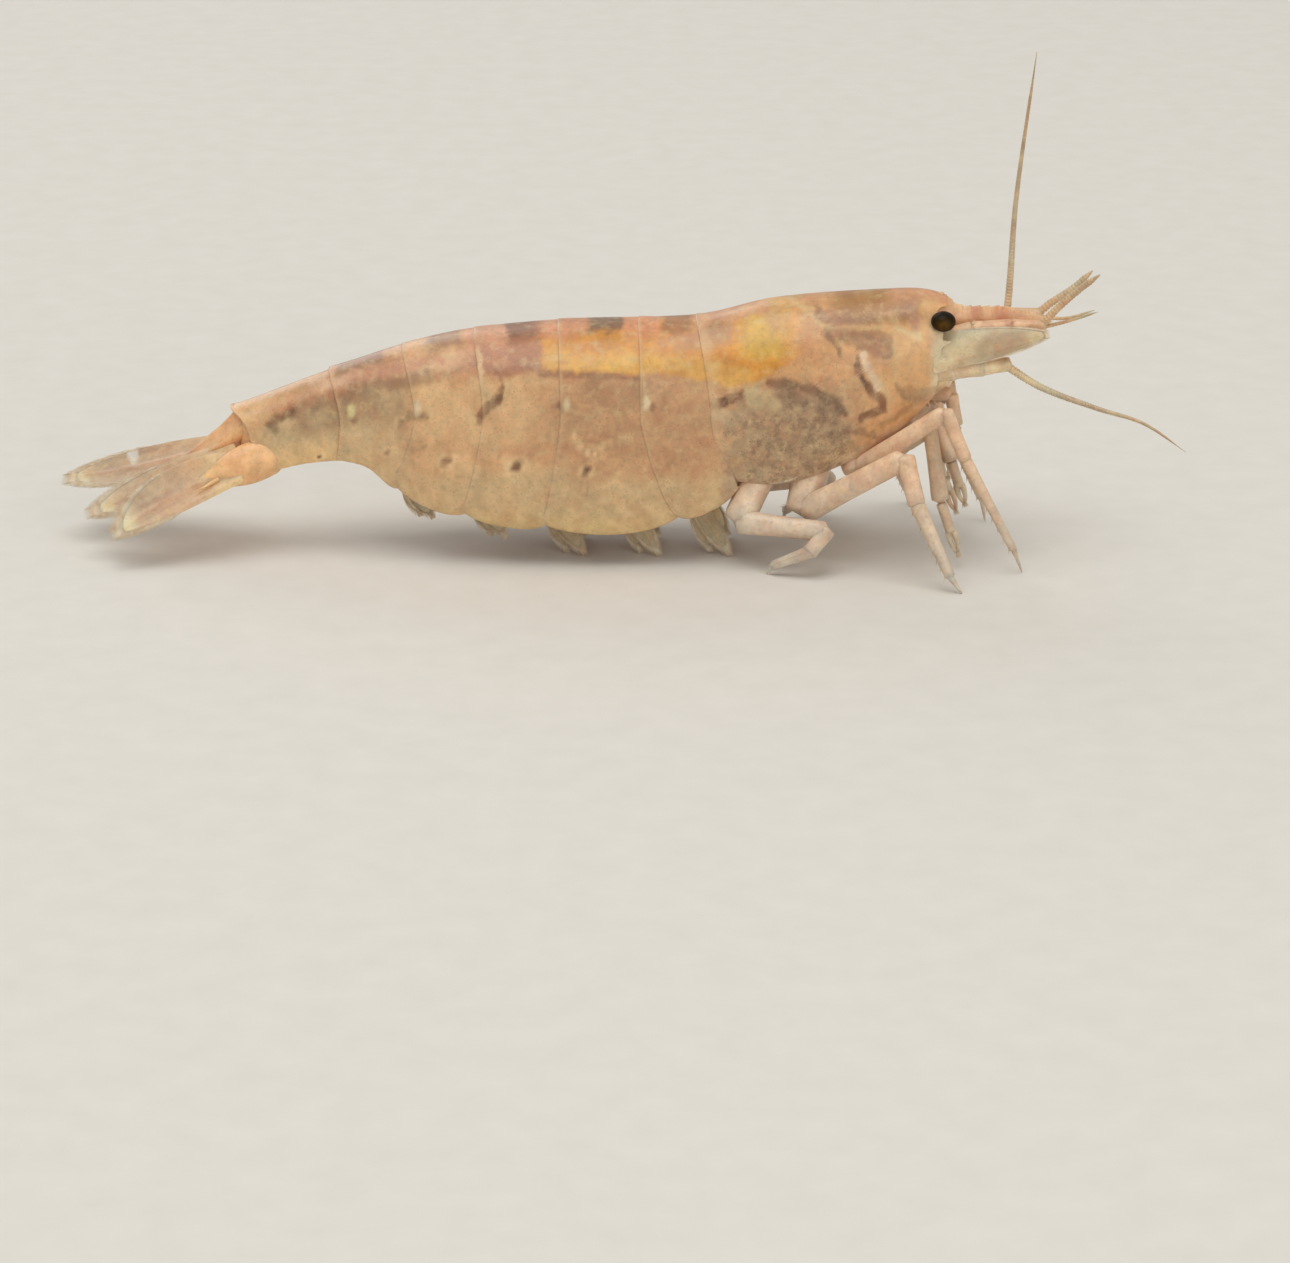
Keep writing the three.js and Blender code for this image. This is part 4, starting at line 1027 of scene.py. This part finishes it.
def lash_tint(stalk_root, tones, band):
    """Skin of a feeler: its tones by distance from the root, and every few rings a darker band."""
    by_distance = [profile([(away, colour[k]) for away, colour in tones]) for k in range(3)]

    def tints(points):
        made = []
        for p in points:
            away = (p - Vector(stalk_root)).length
            colour = Vector([channel(away) for channel in by_distance])
            dark = max(0.0, math.sin(away * 7.0)) * 0.12
            made.append((*(colour.lerp(Vector(band), dark) * (1 + 0.2 * noise.noise(p * 2.6))), 0.4))
        return np.array(made)

    return tints


STALK_JOINTS = [(10.45, 0.5, 6.24), (11.5, 0.58, 6.57), (12.6, 0.6, 6.66), (13.5, 0.6, 6.66)]
FIRST_WIDTHS = [(0.27, 0.27), (0.26, 0.25), (0.24, 0.22)]
STALK_SPINE = [(10.7, 0.8, 6.2), (11.2, 0.88, 6.42), (11.6, 0.86, 6.58)]
OUTER_LASH = [(13.4, 0.6, 6.7), (13.83, 0.7, 7.22), (14.4, 0.82, 7.78), (14.95, 0.95, 8.25)]
INNER_LASH = [(13.4, 0.55, 6.62), (14.2, 0.48, 6.8), (15.0, 0.45, 7.05)]
LEFT_DROOP = 0.4
RING_OF_HAIRS = 10
FIRST_TONES = [(0, paint(0.92, 0.80, 0.66)), (0.9, paint(0.91, 0.77, 0.62)), (2.4, paint(0.92, 0.75, 0.60)),
               (3.3, paint(0.84, 0.72, 0.56)), (4.2, paint(0.74, 0.69, 0.56)), (6, paint(0.76, 0.72, 0.60))]
FIRST_BAND, SECOND_BAND = paint(0.66, 0.46, 0.36), paint(0.60, 0.48, 0.36)
STALK_SPOTS = [(11.85, 0.16), (12.55, 0.13), (13.1, 0.08)]  # x and half width
STALK_SPOT_TINT = paint(0.70, 0.46, 0.35)
for side_name, side in SIDES:
    droop = Vector((0, 0, LEFT_DROOP if side > 0 else 0))
    joints = side_of(STALK_JOINTS, side)
    stalk_bm = bmesh.new()
    hair_bm = bmesh.new()
    jointed(stalk_bm, joints, FIRST_WIDTHS, 0.08, 0.07, around=16, flat=0.95)
    for k, (wide, narrow) in enumerate(FIRST_WIDTHS):
        run = (joints[k + 1] - joints[k]).normalized()
        for hair in range(RING_OF_HAIRS):
            turn = hair * 0.63
            out = Vector((0, math.sin(turn), math.cos(turn)))
            root = joints[k + 1] - run * 0.03 + out * narrow * 0.85
            bristle(hair_bm, root, root + out * 0.04 + run * 0.12, 0.012, (0.1 * hair, 0.3 * k))
    thorn(stalk_bm, side_of(STALK_SPINE, side), 0.08, flat=0.6)
    outer = side_of(OUTER_LASH, side)
    outer = [outer[0]] + [p - droop * min(k + 1, 2) / 2 for k, p in enumerate(outer[1:])]
    inner = side_of(INNER_LASH, side)
    inner = [inner[0]] + [p - droop * 0.5 for p in inner[1:]]
    ringed_lash(stalk_bm, path_through(outer, 100), 0.125, 0.085, 0.1)
    ringed_lash(stalk_bm, path_through(inner, 80), 0.07, 0.03, 0.1)
    face_out(stalk_bm)
    toned = lash_tint(joints[0], FIRST_TONES, FIRST_BAND)

    def tints(points, toned=toned):
        made = toned(points)
        for at, width in STALK_SPOTS:
            away = np.array([math.hypot(p.x - at - 0.3 * noise.noise(p * 5.0), 0.6 * (p.z - 6.72))
                             for p in points])
            made[:, :3] = blend(made[:, :3], STALK_SPOT_TINT, ease(away, width * 1.6, width * 0.4) * 0.5)
        return made

    piece(f"first_feeler_{side_name}", stalk_bm, limb_skin, replaces=(f"antennule_{side_name}",),
          colours=tints)
    piece(f"first_feeler_bristles_{side_name}", hair_bm, bristle_horn)

SECOND_JOINTS = [(10.3, 0.7, 5.42), (11.0, 0.86, 5.52), (11.8, 0.95, 5.6), (12.5, 0.95, 5.68)]
SECOND_WIDTHS = [(0.38, 0.34), (0.31, 0.27), (0.26, 0.2)]
SECOND_LASH = {
    "right": [(12.4, -0.95, 5.66), (13.4, -1.25, 5.1), (14.8, -2.2, 4.8),
              (16.0, -3.4, 4.72), (17.0, -5.0, 4.4)],
    "left": [(12.45, 0.95, 5.66), (12.62, 1.02, 7.1), (12.76, 1.2, 9.8), (13.24, 1.5, 13.95)],
}
SECOND_TONES = [(0, paint(0.98, 0.89, 0.75)), (1.2, paint(0.96, 0.87, 0.73)), (2.2, paint(0.92, 0.83, 0.67)),
                (3.4, paint(0.80, 0.76, 0.64)), (6, paint(0.72, 0.66, 0.54)), (9, paint(0.62, 0.55, 0.43))]
for side_name, side in SIDES:
    joints = side_of(SECOND_JOINTS, side)
    stalk_bm = bmesh.new()
    jointed(stalk_bm, joints, SECOND_WIDTHS, 0.1, 0.1, around=16)
    ringed_lash(stalk_bm, path_through(SECOND_LASH[side_name], 420), 0.125, 0.03 if side > 0 else 0.02, 0.09)
    face_out(stalk_bm)
    piece(f"second_feeler_{side_name}", stalk_bm, limb_skin, replaces=(f"antenna_{side_name}",),
          colours=lash_tint(joints[0], SECOND_TONES, SECOND_BAND))


# ---- Fins: feeler scales, tail fan and swimmerets ----
# Thin, glassy blades, thickest along a rib, with a comb of stiff feathered hairs on the free edge
# that makes each one wider in the water.

# Each blade: root, direction, outward direction, length, and half widths at the base, inside and outside
FEELER_SCALE = ((10.3, 0.98, 6.02), (3.0, 0.1, 0.56), (0, 0.45, -0.89), 3.36, 0.62, 0.34, 0.42)
TAIL_SPIKE = ((-8.55, 0, 3.96), (-3, 0, -2.15), (0, 0.97, 0.25), 4.05, 0.58, 0.42, 0.42)
fin_skin = pigment_material("fin_skin", specks=0.45, depth=0.5, gloss=0.3, alpha=0.86, cell_scale=8000.0)
fan_hair = bristle_material("fan_hair", paint(0.90, 0.78, 0.63), paint(0.98, 0.92, 0.80), alpha=0.95)


def bend_curve(a, b, c, d, t):
    """A point on a four-point curve, as across and along amounts."""
    s = 1 - t
    return [s ** 3 * a[i] + 3 * s * s * t * b[i] + 3 * s * t * t * c[i] + t ** 3 * d[i] for i in (0, 1)]


def towards(colour, tone, amount):
    """A colour carried towards another."""
    return Vector(colour).lerp(Vector(tone), float(amount))


HAIR_WIDTH, END_HAIRS = 0.018, 16


def fin(name, side_name, side, root, along, outward, length, base, inner, outer, tints, slot, replaces,
        plate_share=0.88, thick=0.10, hair_from=0.5, hair_long=0.6, ribs=(0.0,), cup=0.12, hairs=90,
        full=0.8):
    """A blade with a rib or two, and its comb of hairs."""
    u = Vector((along[0], along[1] * side, along[2])).normalized()
    w = u.cross(Vector((outward[0], outward[1] * side, outward[2]))).normalized()
    v = w.cross(u)
    seat = Vector((root[0], root[1] * side, root[2]))
    reach = length * plate_share

    def edge(t, on_outer):
        if on_outer:
            bends = ((0, base), (0.35 * reach, 1.2 * outer), (full * reach, 1.25 * outer),
                     (reach, 0.3 * outer))
        else:
            bends = ((0, -base), (0.3 * reach, -1.3 * inner), (full * reach, -1.3 * inner),
                     (reach, -0.1 * inner))
        return bend_curve(*bends, t)

    def on_plate(t, across, height=0.0):
        left, right = edge(t, False), edge(t, True)
        share = (across + 1) / 2
        flat_u = left[0] + (right[0] - left[0]) * share
        flat_v = left[1] + (right[1] - left[1]) * share
        bow = cup * (1 - across ** 2) * math.sin(math.pi * min(t, 1))
        return seat + u * flat_u + v * flat_v + w * (height + bow * 0.5 * side)

    def place(share, angle):
        t = min(max((share - 0.02) / 0.96, 0), 1)
        end = rounded(share, 0.05)
        across = math.cos(angle) * end
        rib = sum(math.exp(-((math.cos(angle) - at) / 0.11) ** 2) for at in ribs) * 0.03 * (1 - t * 0.7)
        half = (thick * (1 - 0.6 * t) * (1 - 0.55 * abs(math.cos(angle))) * 0.5 + rib) * end
        return on_plate(t, across, math.copysign(half, math.sin(angle)) * abs(math.sin(angle)) ** 0.5)

    fin_bm = bmesh.new()
    rolled(fin_bm, 64, 64, place)
    face_out(fin_bm)

    def coloured(points):
        made = []
        for p in points:
            share = (p - seat).dot(u) / length
            across = (p - seat).dot(v) / max(outer, 0.1)
            made.append((*tints(share, across, p), 0.6))
        return np.array(made)

    piece(f"{name}_{side_name}", fin_bm, fin_skin, replaces=replaces, colours=coloured)
    comb = bmesh.new()
    for k in range(hairs):
        for on_outer in (False, True):
            t = hair_from + (1 - hair_from) * (k + 0.5) / hairs
            root_at = on_plate(t, 0.97 if on_outer else -0.97)
            fan_out = 0.55 * (1 - t) + 0.1
            way = (u + v * (fan_out if on_outer else -fan_out) + w * 0.06 * math.sin(k * 1.7)).normalized()
            grow = 0.35 + 0.65 * ((t - hair_from) / (1 - hair_from)) ** 0.5
            tip = root_at + way * hair_long * grow * (0.92 + 0.08 * math.sin(k * 2.3))
            bristle(comb, root_at, tip, HAIR_WIDTH, (0.05 + 0.85 * t, 0.9 if on_outer else 0.05))
    for k in range(END_HAIRS):
        across = -0.95 + 1.9 * k / (END_HAIRS - 1)
        root_at = on_plate(0.985, across)
        way = (u + v * 0.12 * across).normalized()
        bristle(comb, root_at, root_at + way * hair_long, HAIR_WIDTH, (0.93, 0.05 + 0.85 * (across + 1) / 2))
    piece(f"{name}_comb_{side_name}", comb, fan_hair)


def scale_tint(share, across, p):
    """Bright at the root, greyer towards the tip, with a pale upper edge."""
    colour = towards(paint(0.98, 0.87, 0.71), paint(0.72, 0.66, 0.55), ease(share, 0.15, 0.6))
    colour = towards(colour, paint(0.88, 0.80, 0.65), ease(share, 0.75, 0.9))
    colour = towards(colour, paint(0.92, 0.82, 0.66), ease(-across, 0.35, 0.75) * 0.8)
    return colour * (1 + 0.18 * noise.noise(p * 3.0))


for side_name, side in SIDES:
    fin("feeler_scale", side_name, side, *FEELER_SCALE, scale_tint, "fin", (f"antenna_scale_{side_name}",),
        plate_share=0.95, ribs=(0.55,), hair_from=0.35, hair_long=0.2, cup=0.1, hairs=70, full=0.7)

STEM_JOINTS = [(-7.7, 0.34, 3.0), (-8.35, 0.6, 2.82), (-9.2, 0.9, 2.56), (-10.6, 1.22, 2.08)]
STEM_SPUR = [(-9.5, 1.2, 2.42), (-9.9, 1.4, 2.24), (-10.2, 1.5, 2.12)]
STEM_LIFT = {"right": 0.0, "left": 0.18}
STEM_TINTS = (paint(0.95, 0.75, 0.54), paint(0.95, 0.77, 0.56), paint(0.93, 0.72, 0.52))
FAN = {  # the blades of the tail fan
    "inner": {
        "right": ((-9.0, 0.75, 3.02), (-3.9, 0.25, -1.5), (0, 0.72, -0.69), 4.75, 0.42, 0.52, 0.54),
        "left": ((-9.0, 0.58, 2.97), (-4.6, 0.2, -1.13), (0, 0.92, 0.38), 5.55, 0.36, 0.74, 0.70),
    },
    "outer": {
        "right": ((-9.0, 1.0, 2.72), (-2.9, 0.85, -1.42), (0, 0.6, -0.8), 4.1, 0.5, 0.85, 0.36),
        "left": ((-9.0, 1.05, 2.56), (-4.2, 0.65, -0.82), (0, 0.9, 0.43), 4.9, 0.4, 0.7, 0.55),
    },
}


def fan_tint(share, across, p):
    """Orange at the root, dusky and streaked in the middle, pale at the tip, with one bright fleck."""
    colour = towards(paint(0.96, 0.79, 0.60), paint(0.86, 0.71, 0.58), ease(share, 0.1, 0.4))
    colour = towards(colour, paint(0.79, 0.68, 0.58), ease(share, 0.45, 0.72) * 0.8)
    colour = towards(colour, paint(0.96, 0.88, 0.71), ease(share + 0.1 * noise.noise(p * 2.0), 0.74, 0.9))
    streak = max(0.0, noise.noise(Vector((across * 2.6, share * 1.6, p.y * 0.3))))
    dark = min(streak * 0.8, 0.4) * ease(share, 0.3, 0.5) * ease(share, 0.85, 0.65)
    colour = towards(colour, paint(0.62, 0.52, 0.43), dark)
    fleck = math.hypot((p.x + 12.28 + 0.4 * (p.z - 2.6)) / 0.17, (p.z - 2.6) / 0.34)
    return towards(colour, paint(1.0, 0.95, 0.88), ease(fleck, 1.4, 0.9)) * (1 + 0.10 * noise.noise(p * 1.8))


def stem_radius(share):
    """A fan stem swells a little behind its hinge and then narrows."""
    swell = 0.16 * math.sin(math.pi * min(share * 1.3, 1))
    return (0.30 + swell - 0.27 * share ** 1.3) * rounded(share, 0.14)


for side_name, side in SIDES:
    for blade, ribs in {"inner": (0.0,), "outer": (0.15, 0.8)}.items():
        fin(f"{blade}_tail_fin", side_name, side, *FAN[blade][side_name], fan_tint, "fin",
            (f"uropod_{blade}_{side_name}",), ribs=ribs, hair_long=0.5)
    lift = Vector((0, 0, STEM_LIFT[side_name]))
    stem_joints = [joint + lift for joint in side_of(STEM_JOINTS, side)]
    stem_bm = bmesh.new()
    tube(stem_bm, path_through(stem_joints, 40), stem_radius, 28, flat=1.5)
    thorn(stem_bm, [joint + lift for joint in side_of(STEM_SPUR, side)], 0.07)
    face_out(stem_bm)
    piece(f"fan_stem_{side_name}", stem_bm, limb_skin, replaces=(f"uropod_stem_{side_name}",),
          colours=limb_tint(stem_joints, *STEM_TINTS))


def spike_tint(share, _across, p):
    """Orange at the root and paler at the tip."""
    colour = towards(paint(1.0, 0.79, 0.58), paint(0.86, 0.69, 0.52), ease(share, 0.25, 0.6))
    colour = towards(colour, paint(0.90, 0.79, 0.62), ease(share, 0.75, 0.95) * 0.7)
    return colour * (1 + 0.14 * noise.noise(p * 2.2))


fin("tail_spike", "middle", 1, *TAIL_SPIKE, spike_tint, "rear_shell", ("telson",),
    thick=0.95, hair_from=0.93, hair_long=0.4, hairs=8, cup=0.3)

# Swimmerets: a stout stem and two feathered paddles; the first three pairs reach the ground.
SWIMMERETS = [  # x and y of the root, and height of the tip
    (3.1, 0.72, 0), (1.15, 0.72, 0), (-0.95, 0.68, 0), (-2.95, 0.55, 0.45), (-4.75, 0.42, 1.0),
]
SWIM_LEAN = 0.42
PADDLES = {"front": (0.10, 0.62), "rear": (-0.08, 0.30)}  # how far each spreads sideways and leans forward


def paddle_tint(share, _across, p):
    """Brown at the root and paler at the tip."""
    colour = towards(paint(0.80, 0.66, 0.50), paint(0.86, 0.79, 0.66), min(max(share, 0), 1))
    return colour * (1 + 0.15 * noise.noise(p * 3.0))


for side_name, side in SIDES:
    for number, (x, y, tip) in enumerate(SWIMMERETS, start=1):
        top = breastplate(x) + 0.3
        drop = top - tip

        def at(share):
            return Vector((x + SWIM_LEAN * drop * share, y * side, top - drop * share))

        stem_bm = bmesh.new()
        sleeve(stem_bm, at(0), at(0.52), 0.27, 0.22, flat=1.35, around=14)
        face_out(stem_bm)
        piece(f"swimmeret_stem_{number}_{side_name}", stem_bm, limb_skin,
              replaces=(f"swimmeret_{number}_{side_name}",),
              colours=limb_tint([at(0), at(0.5)], paint(0.80, 0.62, 0.46), paint(0.82, 0.70, 0.54)))
        start = at(0.48)
        for paddle, (sideways, lean) in PADDLES.items():
            run = Vector((lean, sideways * 0.6, -1.0))
            long = (start.z - tip) * run.length
            root = (start.x, start.y * side + sideways * 0.4, start.z)
            fin(f"paddle_{paddle}_{number}", side_name, side, root, run, (1, 0.15, 0.3), long,
                0.1, 0.24, 0.24, paddle_tint, "fin", (), plate_share=0.82, thick=0.08,
                hair_from=0.25, hair_long=long * 0.18, cup=0.05, hairs=26)


bpy.context.view_layer.update()
